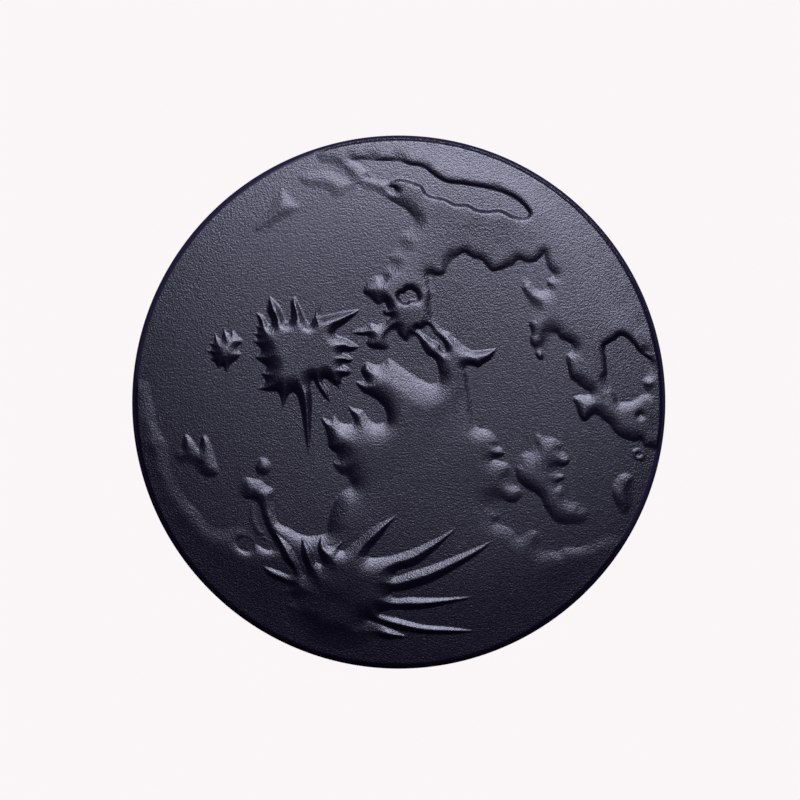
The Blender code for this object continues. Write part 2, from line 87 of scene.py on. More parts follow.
# Softening of the relief, at the foot and away from it, and where one passes to the other.
LAND_SOFTENING = (0.10, 0.30)
ISLAND_FOOT_SOFTENING = 0.08
RAY_SOFTENING = (0.08, 0.15)
EASE_START, EASE_REACH = 0.5, 1.2

# Marks rise to their full height over this much of the ground inside a coast.
LAND_MARK_RISE, ISLAND_MARK_RISE = 0.8, 0.4

# -------------------------------------------------------- coasts, in millimetres
# A point is (x, y), or (x, y, TIP) where the line comes to a sharp point.
TIP = True

NORTH_COAST = [
    (-11, 33.7), (-9.6, 33.4), (-8.4, 32.7), (-7.2, 31.6, TIP), (-8.3, 32.1), (-9.5, 32.7),
    (-10.8, 32.9), (-12.4, 32.8), (-13.7, 32.3), (-14, 31.3), (-13.6, 30.5), (-12.6, 30),
    (-11.4, 29.9), (-10.2, 29.6), (-9.3, 28.9), (-8.6, 28.5), (-7.8, 28.8), (-6.9, 29.4),
    (-5.8, 29.7), (-4.5, 29.7), (-3.2, 29.4), (-1.7, 28.6), (-0.4, 27.9), (0.7, 27.3),
    (1.6, 26.5), (2.1, 25.6), (2, 24.8), (1.2, 24.3), (0.4, 23.8), (-0.1, 22.9), (-0.1, 21.9),
    (-0.9, 21.2), (-1.5, 20.5), (-1.3, 19.5), (-1.9, 19), (-2.4, 18.1),
]

MOUNTAIN_WEST_COAST = [
    (-2.4, 17.8), (-3.2, 17.9), (-3.9, 17.5), (-4.4, 16.8), (-4.9, 16.1), (-4.9, 15.3),
    (-4.2, 14.8), (-3.6, 14.2), (-3.1, 13.8), (-2.6, 13.7), (-2.1, 14.1), (-1.7, 13.6),
    (-1.6, 13.2), (-2.1, 12.9), (-2.1, 12.3), (-1.2, 12.05), (-1.6, 11.6), (-2.5, 11),
    (-3.3, 10.9), (-4, 11.1),
    (-4.5, 10.6), (-5.4, 10.3), (-6.9, 9.8, TIP), (-5.5, 9.4), (-4.2, 9.2), (-4.6, 8.4),
    (-4.1, 7.7), (-2.7, 7.4), (-1.4, 7.5), (-1, 8.1), (-1, 9), (-0.9, 9.7), (-0.5, 10.1),
    (-0.1, 9.6), (0.5, 8.95), (1.1, 8.6), (1.7, 8.8), (2.3, 9.2), (3, 8.4), (3.4, 7.6),
    (4, 6.7), (4.9, 6.2), (5.4, 5.4),
    (5.6, 4.3),
]

SOUTH_WEST_COAST = [
    (-17.6, -20.2), (-17.6, -19.4), (-18.2, -18.4), (-18.7, -17.4), (-19.1, -16.3),
    (-19.4, -15.2), (-19.8, -14.2), (-20.5, -13.7), (-21.4, -13.6), (-22.4, -13),
    (-22.7, -12.1), (-22.5, -11.2), (-22, -10.7), (-21.2, -10.55), (-20.3, -10.8),
    (-19.4, -10.9), (-18.6, -11.7), (-17.8, -12), (-17.4, -12.6), (-17.5, -13.8),
    (-17.4, -15.2), (-17.1, -16.6), (-16.4, -17.3), (-15.4, -17.7), (-14.4, -18.3),
    (-13.4, -18.7), (-12.4, -18.85), (-11.2, -18.7), (-10.1, -18.3), (-10, -17.2),
    (-9.7, -15.8), (-9.3, -14.5), (-8.9, -13.4), (-8.2, -12.6), (-7.3, -12.1), (-6.6, -11.8),
    (-7, -11.2), (-7.3, -10.4), (-8.1, -10.1), (-8.9, -9.3), (-9.2, -8.5), (-8.6, -8.1),
    (-8.7, -7.3), (-9.2, -6.9), (-9.8, -6.3), (-10, -5), (-10.3, -3.8), (-10.8, -2.7),
    (-10.8, -1.7, TIP), (-10.1, -2.5), (-9.6, -2.5), (-9.1, -1.9), (-8.6, -2.5), (-8, -2.95),
    (-7.2, -3.1), (-6.35, -2.9), (-6.5, -2), (-6.9, -1.2), (-7.4, -0.1, TIP), (-6.7, -0.7),
    (-6, -0.95), (-5.2, -1.1), (-4.7, -1.8), (-4.1, -2.5), (-3.4, -3), (-2.5, -3.05),
    (-1.75, -2.8), (-1.65, -1.9), (-1.9, -1), (-2.5, -0.2), (-3.3, 0.5), (-4.2, 1), (-5, 1.4),
    (-5.7, 2.2), (-6.1, 2.95, TIP), (-5.2, 2.85), (-4.7, 3.1), (-5, 3.7), (-5.3, 4.4),
    (-5, 5.2), (-4.5, 5.6), (-3.6, 5.3), (-2.7, 5.25), (-1.95, 5.6), (-1.5, 6.15), (-0.8, 5.8),
    (0, 5.2), (0.8, 4.65), (1.7, 4.05), (2.6, 3.45), (3.4, 3), (4.2, 2.65), (5, 2.6),
    (5.6, 2.9),
]

WEST_LIMB_COAST = [
    (-35.2, 2.9), (-34.8, 1.2), (-34.3, -0.6), (-34.1, -2.5), (-33.4, -4.4), (-32.5, -5.6),
    (-32.3, -7.5), (-32, -9.3), (-31.2, -11), (-30.4, -12.5), (-29.4, -13.9), (-28.3, -15),
    (-27.4, -16.4), (-26.4, -17.4), (-25, -17.6), (-23.8, -17.5), (-22.6, -17.4),
    (-21.6, -17.7), (-20.9, -18.4), (-20, -18.9), (-19.2, -18.7), (-18.6, -18.9),
    (-18.1, -19.7),
]

NORTH_EAST_COAST = [
    (4.3, 17.9), (5, 17.8), (5.8, 17.8), (6.5, 18.1), (6.9, 18.8), (7.4, 19.8), (8.3, 20.5),
    (9.2, 21), (9.9, 20.6), (10.6, 20.2), (11.5, 20), (12.3, 19.2), (13.1, 18.4), (14, 18.5),
    (15.2, 18.9), (16.2, 19.3), (16.8, 20), (17.5, 19.8), (18.4, 19.6), (19.3, 19.8),
    (19.9, 20.3), (20.4, 20.8, TIP), (20.7, 19.6), (21.1, 18.6), (21.8, 18), (21.6, 17.6),
    (20.8, 17.2), (20.7, 16.5), (20.9, 16), (20.1, 15.8), (19.3, 16), (18.7, 16.8),
    (18.1, 17.6), (17.3, 17.5), (17, 16.7), (17.5, 15.6), (18.2, 14.3), (18.6, 13.3),
    (18.2, 12.1), (18.3, 11), (18.6, 9.8), (18.4, 8.9), (18.6, 8.1), (19.1, 7.4), (19.3, 6.5),
    (19.9, 5.9), (20.5, 6.4), (20.8, 7.4), (21.3, 8.7), (21.9, 9.8), (22.6, 9), (23.4, 8.6),
    (24.1, 8.3), (24.5, 7.7), (24.3, 7.1), (23.6, 6.8), (23.4, 6.2), (23.7, 5.2), (23.9, 4),
    (24.2, 3.3), (25.1, 2.6), (26.1, 1.8), (26.9, 1.2), (25.9, 1), (24.9, 0.9), (24.4, 0.5),
    (24.9, -0.5), (25.2, -1.6), (25.7, -2.5), (26.4, -2.6), (27, -2), (27.7, -1.7),
    (28.6, -2.4), (29.6, -3.2), (30.3, -4.2), (31.1, -4.9), (32.2, -5.3), (33.2, -5.5),
    (34.1, -5.4), (34.5, -6.2),
]

MOUNTAIN_EAST_COAST = [
    (9.95, 3.2), (9.8, 4.2), (9.6, 5), (10.4, 5.1), (11.2, 4.9), (11.9, 5.4), (12.7, 5.9),
    (13.3, 6.6), (13.7, 7.6, TIP), (12.8, 7.4), (11.9, 7.3), (10.8, 7.2), (9.9, 7.4),
    (9.1, 7.9), (8.4, 8.5), (7.7, 9.2), (7, 9.9), (6.2, 10.2), (5.7, 10.7), (5.3, 11.4),
    (5.2, 12.5), (5.3, 14), (5.3, 15.3), (5.1, 16.4), (4.7, 17.2),
]

SOUTH_EAST_COAST = [
    (10, 2.9), (10.2, 1.8), (10.35, 0.5), (10.5, -0.8), (10.7, -2.2), (10.9, -3.2),
    (11.4, -3.7), (12.1, -3.75), (12.9, -4.1), (13.6, -4.8), (14, -5.5), (13.9, -6.1),
    (14.4, -6.4), (14.9, -7.2), (14.4, -7.7), (13.4, -8, TIP), (14.3, -8.25), (15.2, -8.5),
    (15.8, -9.2), (16.1, -10), (16, -10.9), (16.2, -11.6), (16.9, -11.9), (17.4, -12.6),
    (17.2, -13.4), (16.5, -14), (15.6, -14.1), (14.6, -13.9), (13.9, -14.6), (14.5, -15.3),
    (14.5, -15.9), (14, -16.5), (13.7, -16.9), (14.5, -17.1), (15.4, -17.5), (16.3, -18.1),
    (16.9, -18.7), (17.4, -18.6), (18, -18.1), (18.9, -17.9), (19.7, -18.2), (20.2, -19),
    (20.2, -20.2),
    (20.8, -20.8), (21.6, -20.8), (22.4, -20.9), (23.2, -20.3), (24.2, -20.3), (25.3, -20.3),
    (26.4, -20), (27.2, -19.4), (28.2, -19), (29.6, -18.8),
]

NORTHERN_PLAIN = [
    (-6.6, 34, TIP), (-5, 34.1), (-3, 33.9), (0, 33.9), (0.9, 33.6), (1.8, 33.3), (2.8, 33.2),
    (3.6, 32.9), (4.5, 32.2), (5.5, 31.5), (6.4, 31), (7.4, 30.75), (8.8, 30.6), (10.2, 30.4),
    (11.6, 30.2), (13, 29.9), (14.4, 29.5), (15.8, 28.9), (17, 28.1), (17.9, 27.2),
    (18.3, 26.5), (18, 26.1), (17.3, 26), (16.5, 26.15), (15.6, 26.55), (14.7, 27),
    (13.8, 27.15), (12.7, 27), (11.6, 27.05), (10.7, 27.3), (9.9, 27.8), (9, 27.95), (8, 27.95),
    (7.2, 28.3), (6.4, 28.7), (5.4, 28.9), (4.4, 29.1), (3.8, 29.6), (3.4, 30.35), (2.6, 30.8),
    (1.6, 31.15), (0.4, 31.4), (-0.8, 31.35), (-2, 31.2), (-3.1, 31.5), (-3.7, 32.2),
    (-4.4, 32.9), (-5.5, 33.4),
]

EASTERN_PLAIN = [
    (28.9, 7.6), (29.2, 8.1), (29.9, 8.5), (30.5, 8.8), (31, 9.3), (31.6, 9.3), (32.4, 8.7),
    (33, 8.1), (33.5, 7.4), (34, 6.9), (34.7, 6.4), (35.3, 5.9), (35.3, 4.8), (34.8, 3.8),
    (34.2, 3.2), (34.2, 2.3), (34.7, 1.6), (34.9, 1.25), (34.1, 1), (33.4, 0.5), (32.6, 0.1),
    (31.8, 0), (31, 0), (30.6, 0.8), (30.2, 1.6), (29.6, 2.6), (29.3, 3.6), (29.2, 5),
    (29.05, 6.5),
]

RING_PIT = [
    (0, 15), (0.3, 15.3), (0.8, 15.3), (1.1, 15.7), (1.7, 15.8), (2.3, 15.5), (2.6, 15),
    (2.6, 14.5), (2, 14.4), (1.5, 14.3), (1, 14), (0.5, 14.2), (0.2, 14.6),
]

SLOT_PIT = [
    (2.5, 10.3), (3.2, 10.3), (3.7, 10.7), (4.2, 10.8), (4.7, 10.3), (5, 9.6), (5.7, 9),
    (6.2, 8.5), (6.6, 7.6), (6.5, 7.2), (6.1, 7.4), (5.7, 8.1), (5.2, 8.5), (4.5, 8.8),
    (3.9, 9.2), (3.2, 9.8),
]

SOUTH_EAST_ISLAND = [
    (16.25, -8.1), (16.6, -7.6), (17.3, -7.1), (17.9, -6.9), (18.6, -6.3),
    (18.8, -5.2), (19.2, -4.4), (19.8, -4.3), (20.4, -4.7), (21, -4.8), (21.8, -4.9),
    (22.4, -5.3), (23, -5.9), (22.9, -6.7), (23.5, -7.1), (24.1, -7.9), (23.7, -8.8),
    (22.8, -9.1), (22.4, -9.5), (23.2, -10.1), (23.2, -10.8), (22.3, -11.4), (23.1, -11.9),
    (23.4, -12.6), (23.6, -13.3), (24.2, -13.9), (25.2, -14), (25.8, -14.6), (26.7, -15.2),
    (26.6, -16.5), (26, -17.1), (25, -17.2), (23.6, -17.2), (22.4, -17), (21.6, -16.5),
    (20.9, -15.3), (20.4, -14.6), (20, -13.6), (19.3, -12.9), (18.5, -12.4), (17.8, -12),
    (17.2, -11.5), (16.7, -11), (16.4, -10.2), (16.3, -9.2),
]

EAST_ISLAND = [
    (31.8, -9.9), (32.9, -10.2), (33.4, -11.2), (33.3, -12.8), (32.9, -14.4), (32.2, -15.6),
    (31.4, -15.8), (30.8, -15), (30.2, -13.8), (29.9, -12.6), (30.1, -11.4), (30.8, -10.4),
]

EAST_RING_CRATER = [
    (32.7, -7.3), (32.8, -6.7), (33.6, -6.4), (34.3, -6.7), (34.7, -7.5), (34.5, -8.2),
    (33.8, -8.3), (33.1, -8),
]

NORTH_WEST_ISLAND = [
    (-16.4, 30.5), (-17.5, 29.2), (-18.5, 27.6), (-19.5, 26.2), (-20.4, 24.8), (-20, 23.8),
    (-18.6, 24.2), (-16.6, 25.2), (-14.6, 26.3), (-13.6, 27.4), (-14.7, 28.7), (-15.7, 29.8),
]

WEST_ISLAND = [
    (-30.1, -4.5), (-29.4, -4.8), (-28.8, -5.5), (-28.3, -6.3), (-28, -6.4), (-27.9, -5.5),
    (-27.6, -4.7), (-27.1, -4.7), (-26.6, -5.4), (-26.2, -6.4), (-25.8, -7.5), (-25.5, -8.4),
    (-25.2, -9.3), (-25.4, -10.2), (-26.6, -10.6), (-27.5, -10.3), (-28.4, -9.8), (-29, -9),
    (-30.2, -8.7), (-31.3, -8.4), (-31.8, -7.4), (-31.4, -6.5), (-30.7, -6.2), (-30.4, -5.5),
]

WEST_KNOLL = [
    (-20, -8.3), (-19.4, -7.7), (-18.5, -7.9), (-17.9, -8.7), (-17.9, -9.7), (-18.6, -10.3),
    (-19.7, -10.2), (-20.3, -9.3),
]

BASIN_KNOLL = [
    (-20.9, -14.2), (-20.4, -14.1), (-20, -15), (-19.8, -16.2), (-19.3, -17.4), (-18.6, -18.3),
    (-18.9, -19), (-20, -18.8), (-20.8, -17.6), (-21.2, -16),
]

LARGE_RAY_CRATER = [
    (-18.2, 15, TIP), (-17.3, 14.2), (-16.5, 13.2), (-15.5, 11.4), (-15.2, 14.2),
    (-14.6, 15, TIP), (-14.1, 14.1), (-13.6, 13.1), (-12.6, 11.1), (-12.1, 11.6), (-11.4, 13.4),
    (-10.2, 15.5, TIP), (-11, 13.2), (-11.2, 12.1), (-10.3, 12.2), (-8, 12.7),
    (-5.3, 13.1, TIP), (-6.2, 12.1), (-7.5, 11), (-8.9, 9.7), (-7.3, 8.9), (-5.5, 7.8, TIP),
    (-6.6, 7.1), (-7.9, 7), (-7.2, 6.6), (-6.3, 6, TIP), (-7, 5.5), (-7.9, 5.4), (-7.2, 4.9),
    (-6.6, 4.2, TIP), (-7.2, 3.7), (-8, 3.4), (-7.6, 2.2, TIP), (-8.2, 2.6), (-8.3, 1.8, TIP),
    (-9.3, 2.6), (-10.6, 3.3), (-9.9, 1.6), (-9.5, -0.1, TIP), (-10.4, 0.6), (-11.4, 2),
    (-12.2, 3.1), (-12.1, 1), (-12.2, -3), (-12.65, -7.9, TIP), (-13.3, -4), (-14, 0),
    (-14.7, 1.4), (-15.4, 1.1), (-16.3, -1, TIP), (-16.9, 1.3), (-18.2, 1.5), (-20, 1.8, TIP),
    (-18.7, 2.9), (-19.4, 4, TIP), (-18.5, 4.8), (-19.3, 5.6), (-20.3, 6.3, TIP), (-19.3, 7.2),
    (-20.6, 8.7, TIP), (-19.8, 9), (-20.7, 9.7, TIP), (-19.8, 9.9), (-20.1, 10.8, TIP),
    (-19.6, 11), (-20.1, 12.6, TIP), (-19.1, 12.2), (-18, 11), (-18.5, 12.9),
]

SMALL_RAY_CRATER = [
    (-25.9, 9.9, TIP), (-25, 8.9), (-24.7, 10.8, TIP), (-23.9, 9.6), (-23.3, 10.1, TIP),
    (-22.6, 9.3), (-21.8, 8.6, TIP), (-22.6, 7.6), (-22.1, 6.7, TIP), (-22.7, 6), (-23.6, 5.3),
    (-24.2, 4.1, TIP), (-24.7, 5), (-25.4, 4.8, TIP), (-25.8, 5.5), (-26.4, 5.9, TIP),
    (-26.2, 6.6), (-27.4, 7.3, TIP), (-26.2, 7.6), (-26.7, 8.3, TIP), (-26, 8.5),
]

SOUTHERN_RAY_CRATER = [
    (-0.2, -15.8, TIP), (-1.4, -17.4), (-2.7, -19.2), (-4.3, -21.5), (-2.5, -21.8), (0, -21.3),
    (3, -20.2), (6, -18.8), (8.4, -17.4, TIP), (7, -18.9), (5.2, -20.7), (2.4, -22.9),
    (-0.7, -24.2), (2, -23.7), (6, -22.4), (10, -20.8), (13.3, -19.4, TIP), (11.2, -21.3),
    (8, -23.4), (4.5, -25.3), (1, -26.4), (-1.2, -27.1), (1.5, -27.4), (6, -27.5),
    (11.5, -27.2, TIP), (7.5, -28.2), (3, -29.1), (-2.5, -29.5), (0, -30.4), (3.5, -31.3),
    (7, -31.6), (11.5, -32.2, TIP), (7, -32.6), (3, -32.5), (-1, -31.7), (-4.2, -30.6),
    (-2, -31.5), (1.4, -33, TIP), (-1, -33.3), (-3.5, -33.4), (-5.5, -34.5),
    (-8.5, -34.9), (-11.5, -34), (-14, -32.2), (-15.4, -30.2), (-15.6, -29),
    (-16.6, -28.4, TIP), (-14.7, -27.7), (-17, -26.5, TIP), (-15.4, -26), (-18, -24.6),
    (-19.3, -22.9, TIP), (-17, -23.6), (-14.9, -24.1), (-16.2, -22.1), (-17.5, -18.1, TIP),
    (-15.2, -20.3), (-14.2, -22.2), (-13.1, -24.2), (-13.7, -21.3), (-13.6, -18.8, TIP),
    (-12.3, -20.4), (-11, -22.8), (-11.4, -20.5), (-10.9, -18.8, TIP), (-9.8, -20.3),
    (-7.6, -19.3, TIP), (-8.3, -20.9), (-6.2, -19.7), (-3.6, -17.6),
]

SEA_RIM = 38.5


def rim_arc(start_degrees, end_degrees, steps):
    """Points of a sea's border outside the rim of the stick."""
    turns = np.radians(np.linspace(start_degrees, end_degrees, steps))
    points = [(SEA_RIM * math.cos(turn), SEA_RIM * math.sin(turn)) for turn in turns]
    return [(*points[0], TIP)] + points[1:-1] + [(*points[-1], TIP)]


WESTERN_SEA = (
    rim_arc(109.0, 175.0, 12) + WEST_LIMB_COAST + SOUTH_WEST_COAST
    + MOUNTAIN_WEST_COAST[::-1] + NORTH_COAST[::-1]
)
EASTERN_SEA = (
    NORTH_EAST_COAST + rim_arc(-11.0, -31.0, 5)
    + SOUTH_EAST_COAST[::-1] + MOUNTAIN_EAST_COAST
)

# How the land rises from its coasts:
# (x, y, width of the slope, height, foot, shoulder).
# A foot of 1 starts at a clean line, 2 starts hollow; a larger shoulder is softer.
LAND_SLOPES = [
    (-12.0, 33.2, 2.4, 0.12, 1.6, 2.0), (-8.5, 32.4, 2.2, 0.13, 1.6, 2.0),
    (-12.0, 29.9, 2.0, 0.12, 1.6, 2.0), (-8.7, 28.6, 2.0, 0.15, 1.5, 2.0),
    (-5.5, 29.7, 3.4, 0.17, 1.6, 2.0), (-3.0, 29.4, 2.6, 0.30, 1.4, 2.0),
    (-0.4, 27.9, 2.4, 0.42, 1.0, 2.5), (1.4, 26.8, 2.2, 0.42, 1.0, 2.5),
    (2.1, 25.2, 2.4, 0.40, 1.2, 2.0), (0.6, 24.0, 2.6, 0.35, 1.4, 2.0),
    (-0.1, 22.2, 3.0, 0.35, 1.4, 2.0), (-1.4, 19.8, 3.0, 0.35, 1.4, 2.0),
    (-3.4, 17.9, 2.6, 0.60, 1.4, 2.0), (-4.9, 15.9, 2.8, 1.00, 1.0, 2.1),
    (-3.3, 14.0, 3.0, 1.00, 1.0, 2.1), (-1.7, 13.4, 1.9, 0.90, 1.0, 2.0),
    (-1.5, 12.2, 1.5, 0.80, 1.0, 2.0), (-2.5, 11.1, 2.6, 0.80, 1.1, 2.0),
    (-4.0, 10.9, 2.2, 0.80, 1.1, 2.0), (-5.6, 9.9, 1.4, 0.60, 1.0, 1.6),
    (-3.0, 7.5, 2.1, 0.90, 1.0, 2.0), (-1.0, 9.0, 3.4, 0.35, 1.6, 2.0),
    (0.4, 9.1, 1.6, 0.80, 1.0, 2.1), (1.9, 9.0, 3.4, 0.70, 1.4, 2.0),
    (3.3, 7.8, 1.8, 0.90, 1.0, 2.0), (5.5, 5.0, 2.0, 0.80, 1.0, 2.0),
    (5.6, 3.2, 3.0, 0.85, 1.2, 2.2), (-5.5, 34.2, 1.2, 0.34, 1.0, 2.2),
    (-2.0, 34.0, 0.95, 0.36, 1.0, 2.0), (2.0, 33.2, 0.95, 0.36, 1.0, 2.0),
    (6.0, 31.0, 0.95, 0.38, 1.0, 2.2), (11.0, 30.3, 0.85, 0.38, 1.0, 2.0),
    (16.0, 28.7, 0.95, 0.45, 1.0, 2.0), (18.2, 26.6, 0.75, 0.48, 1.0, 2.0),
    (15.0, 26.8, 0.65, 0.85, 1.0, 1.3), (11.0, 27.2, 0.55, 0.80, 1.0, 1.2),
    (7.0, 28.4, 0.55, 0.75, 1.0, 1.2), (4.2, 29.2, 0.6, 0.45, 1.1, 1.6),
    (3.4, 30.3, 0.55, 0.75, 1.0, 1.2), (0.5, 31.3, 0.55, 0.60, 1.0, 1.2),
    (-2.5, 31.3, 1.4, 0.15, 1.6, 2.0), (-4.0, 32.5, 2.0, 0.10, 1.6, 2.0),
    (4.3, 17.9, 1.4, 0.38, 1.2, 2.2), (5.6, 17.8, 1.2, 0.45, 1.0, 2.2),
    (7.2, 19.4, 2.0, 0.35, 1.2, 2.0), (9.5, 20.8, 1.7, 0.42, 1.0, 3.0),
    (13.5, 18.4, 1.7, 0.42, 1.0, 3.0), (18.0, 19.6, 1.6, 0.42, 1.0, 3.0),
    (20.9, 18.5, 1.4, 0.40, 1.1, 2.0), (19.3, 15.9, 1.8, 0.30, 1.4, 2.0),
    (17.1, 17.2, 3.0, 0.25, 1.5, 2.0), (17.5, 15.4, 1.6, 0.50, 1.0, 2.0),
    (18.4, 12.4, 3.4, 0.40, 1.4, 2.0), (18.5, 10.5, 1.4, 0.50, 1.0, 2.0),
    (18.5, 8.4, 1.3, 0.50, 1.0, 2.0), (19.6, 6.3, 1.2, 0.45, 1.0, 2.0),
    (20.7, 7.4, 5.0, 0.30, 1.6, 2.0), (21.4, 9.0, 4.0, 0.35, 1.5, 2.0),
    (22.2, 9.6, 1.7, 0.60, 1.0, 2.2), (24.0, 8.4, 1.7, 0.60, 1.0, 2.2),
    (24.5, 7.4, 1.8, 0.50, 1.1, 2.0), (23.6, 6.6, 1.8, 0.40, 1.2, 2.5),
    (23.8, 4.8, 1.3, 0.50, 1.0, 2.2), (25.5, 2.2, 2.6, 0.80, 1.0, 2.2),
    (25.6, 0.9, 2.4, 0.40, 1.1, 3.0), (24.9, -0.9, 1.4, 0.55, 1.0, 2.0),
    (26.0, -2.6, 1.5, 0.60, 1.0, 2.0), (28.5, -2.4, 2.6, 0.80, 1.0, 2.2),
    (31.3, -5.0, 2.4, 0.70, 1.0, 2.2), (34.3, -5.6, 1.6, 0.60, 1.0, 2.0),
    (28.9, 8.0, 0.9, 0.50, 1.0, 2.0), (31.2, 9.3, 1.0, 0.60, 1.0, 2.0),
    (33.5, 7.5, 1.0, 0.70, 1.0, 2.0), (34.9, 6.3, 1.0, 0.85, 1.0, 2.0),
    (35.3, 4.9, 1.4, 0.30, 1.4, 2.0), (29.2, 5.0, 0.8, 0.45, 1.0, 2.0),
    (29.6, 2.8, 1.8, 0.35, 1.4, 2.0), (30.4, 1.0, 1.0, 0.30, 1.2, 2.0),
    (33.0, 0.2, 1.9, 0.38, 1.1, 2.5), (34.6, 1.3, 1.8, 0.45, 1.2, 2.5),
    (34.3, 2.7, 1.6, 0.20, 1.4, 2.0), (1.5, 15.7, 1.0, 0.72, 1.0, 1.6),
    (2.7, 14.9, 0.9, 0.70, 1.0, 1.6), (0.0, 15.1, 0.6, 0.60, 1.0, 1.6),
    (1.2, 14.1, 0.45, 0.60, 1.0, 1.4), (4.2, 10.7, 1.1, 0.75, 1.0, 1.7),
    (2.6, 10.4, 0.9, 0.65, 1.0, 1.7), (6.4, 8.2, 1.0, 0.80, 1.0, 1.7),
    (4.3, 8.9, 1.0, 0.40, 1.0, 2.0), (5.9, 7.7, 1.0, 0.40, 1.0, 2.0),
    (5.25, 14.0, 3.0, 0.12, 1.8, 2.2), (5.3, 11.8, 3.0, 0.22, 1.8, 2.2),
    (5.0, 16.6, 3.0, 0.18, 1.8, 2.2), (6.0, 10.4, 1.6, 0.35, 1.4, 2.0),
    (7.4, 9.5, 1.8, 0.50, 1.2, 2.0), (9.3, 7.8, 1.8, 0.70, 1.1, 2.0),
    (12.0, 7.3, 1.2, 0.60, 1.1, 2.0), (12.0, 5.4, 1.2, 0.80, 1.0, 2.0),
    (9.8, 3.5, 1.0, 0.18, 1.8, 2.0), (10.3, 0.5, 1.0, 0.15, 1.8, 2.0),
    (10.8, -2.5, 1.4, 0.25, 1.6, 2.0), (11.7, -3.8, 3.2, 0.60, 1.1, 3.0),
    (13.5, -4.7, 3.0, 0.55, 1.1, 3.0), (14.6, -6.9, 1.4, 0.30, 1.1, 2.0),
    (15.3, -8.6, 2.8, 0.60, 1.1, 2.5), (16.0, -10.6, 3.4, 0.25, 1.5, 2.0),
    (17.0, -12.2, 1.8, 0.32, 1.2, 2.5), (15.8, -14.1, 1.3, 0.28, 1.0, 2.2),
    (14.0, -14.8, 4.5, 0.16, 1.7, 2.0), (14.0, -16.8, 2.2, 0.27, 1.3, 2.5),
    (15.6, -17.7, 2.4, 0.34, 1.2, 2.5), (17.3, -18.6, 2.4, 0.25, 1.4, 2.5),
    (19.2, -18.0, 2.4, 0.34, 1.3, 2.5), (20.2, -19.6, 3.4, 0.20, 1.5, 2.0),
    (22.0, -20.8, 2.0, 0.30, 1.3, 2.5), (25.0, -20.3, 2.0, 0.30, 1.3, 2.5),
    (28.0, -19.1, 2.8, 0.22, 1.5, 2.5), (-4.9, 4.3, 2.0, 0.90, 1.0, 2.0),
    (-3.0, 5.3, 6.0, 0.95, 1.0, 3.0), (1.0, 4.5, 7.5, 1.05, 1.0, 3.0),
    (4.3, 2.7, 7.0, 1.00, 1.0, 3.0), (-3.0, 0.2, 2.6, 0.90, 1.0, 2.2),
    (-5.5, 2.0, 2.4, 0.80, 1.0, 2.2), (-1.8, -1.9, 2.4, 0.90, 1.0, 2.2),
    (-3.5, -3.0, 4.4, 0.80, 1.0, 3.0), (-7.5, -3.1, 4.4, 0.80, 1.0, 3.0),
    (-9.9, -5.5, 2.8, 1.00, 1.0, 2.2), (-9.0, -9.0, 5.5, 1.00, 1.0, 2.5),
    (-7.0, -12.0, 2.6, 0.45, 1.4, 3.0), (-9.5, -15.5, 4.0, 0.90, 1.1, 2.5),
    (-12.5, -18.8, 3.0, 0.80, 1.0, 2.5), (-17.4, -14.8, 2.4, 0.50, 1.3, 2.5),
    (-20.3, -10.7, 2.6, 0.60, 1.1, 2.5), (-22.6, -12.1, 3.4, 0.40, 1.5, 2.0),
    (-20.5, -13.8, 1.8, 0.50, 1.1, 2.2), (-18.7, -16.5, 1.8, 0.60, 1.1, 2.2),
    (-17.9, -19.0, 1.6, 0.60, 1.0, 2.0), (-20.5, -18.8, 3.4, 0.25, 1.5, 2.0),
    (-24.5, -17.5, 3.2, 0.25, 1.5, 2.5), (-28.3, -15.0, 3.4, 0.50, 1.3, 2.5),
    (-30.8, -11.8, 2.6, 0.18, 1.5, 2.0), (-32.1, -8.8, 3.4, 0.42, 1.4, 2.2),
    (-32.4, -6.6, 2.6, 0.30, 1.5, 2.0), (-33.2, -4.8, 3.6, 0.62, 1.2, 2.5),
    (-34.3, -1.5, 2.8, 0.50, 1.3, 2.2), (-35.0, 2.0, 2.0, 0.25, 1.4, 2.0),
]

# Nicks left as sharp as they are cut, each with the same six values as in LAND_MARKS.
LAND_NICKS = [(-5.45, 30.35, 0.30, 0.16, -45.0, -0.50)]

# Small rounded rises and dents: (x, y, length, width, turn in degrees, height).
LAND_MARKS = [
    (-4.55, 31.6, 0.55, 0.34, 0.0, -0.16), (-0.75, 29.85, 0.75, 0.42, -20.0, -0.60),
    (-12.3, 34.3, 0.9, 0.5, 0.0, 0.10),
    (1.5, 13.0, 1.8, 1.1, 0.0, 0.10), (33.95, -1.85, 0.42, 0.36, 0.0, -0.55),
    (35.1, 2.65, 0.80, 0.45, 20.0, 0.17), (-21.7, -20.2, 1.10, 0.70, -32.0, -0.80),
    (-18.5, -20.1, 1.10, 0.70, -18.0, -0.80),
]


# ------------------------------------------------------------------ relief fields
def smooth_line(points, fineness=4):
    """Closed smooth line through the points; a TIP stays sharp."""
    count = len(points)
    places = np.array([point[:2] for point in points], float)
    sharp = [len(point) == 3 for point in points]
    line = []
    for k in range(count):
        before, start = places[k - 1], places[k]
        end, after = places[(k + 1) % count], places[(k + 2) % count]
        length = np.hypot(*(end - start))
        leave = end - start
        arrive = end - start
        if not sharp[k]:
            leave = (end - before) / max(np.hypot(*(end - before)), 1e-6) * length
        if not sharp[(k + 1) % count]:
            arrive = (after - start) / max(np.hypot(*(after - start)), 1e-6) * length
        for step in range(fineness):
            t = step / fineness
            line.append(
                start * (2 * t**3 - 3 * t**2 + 1) + leave * (t**3 - 2 * t**2 + t)
                + end * (3 * t**2 - 2 * t**3) + arrive * (t**3 - t**2)
            )
    return np.array(line)


def net_index(place):
    return (place + HALF_NET * STEP) / STEP


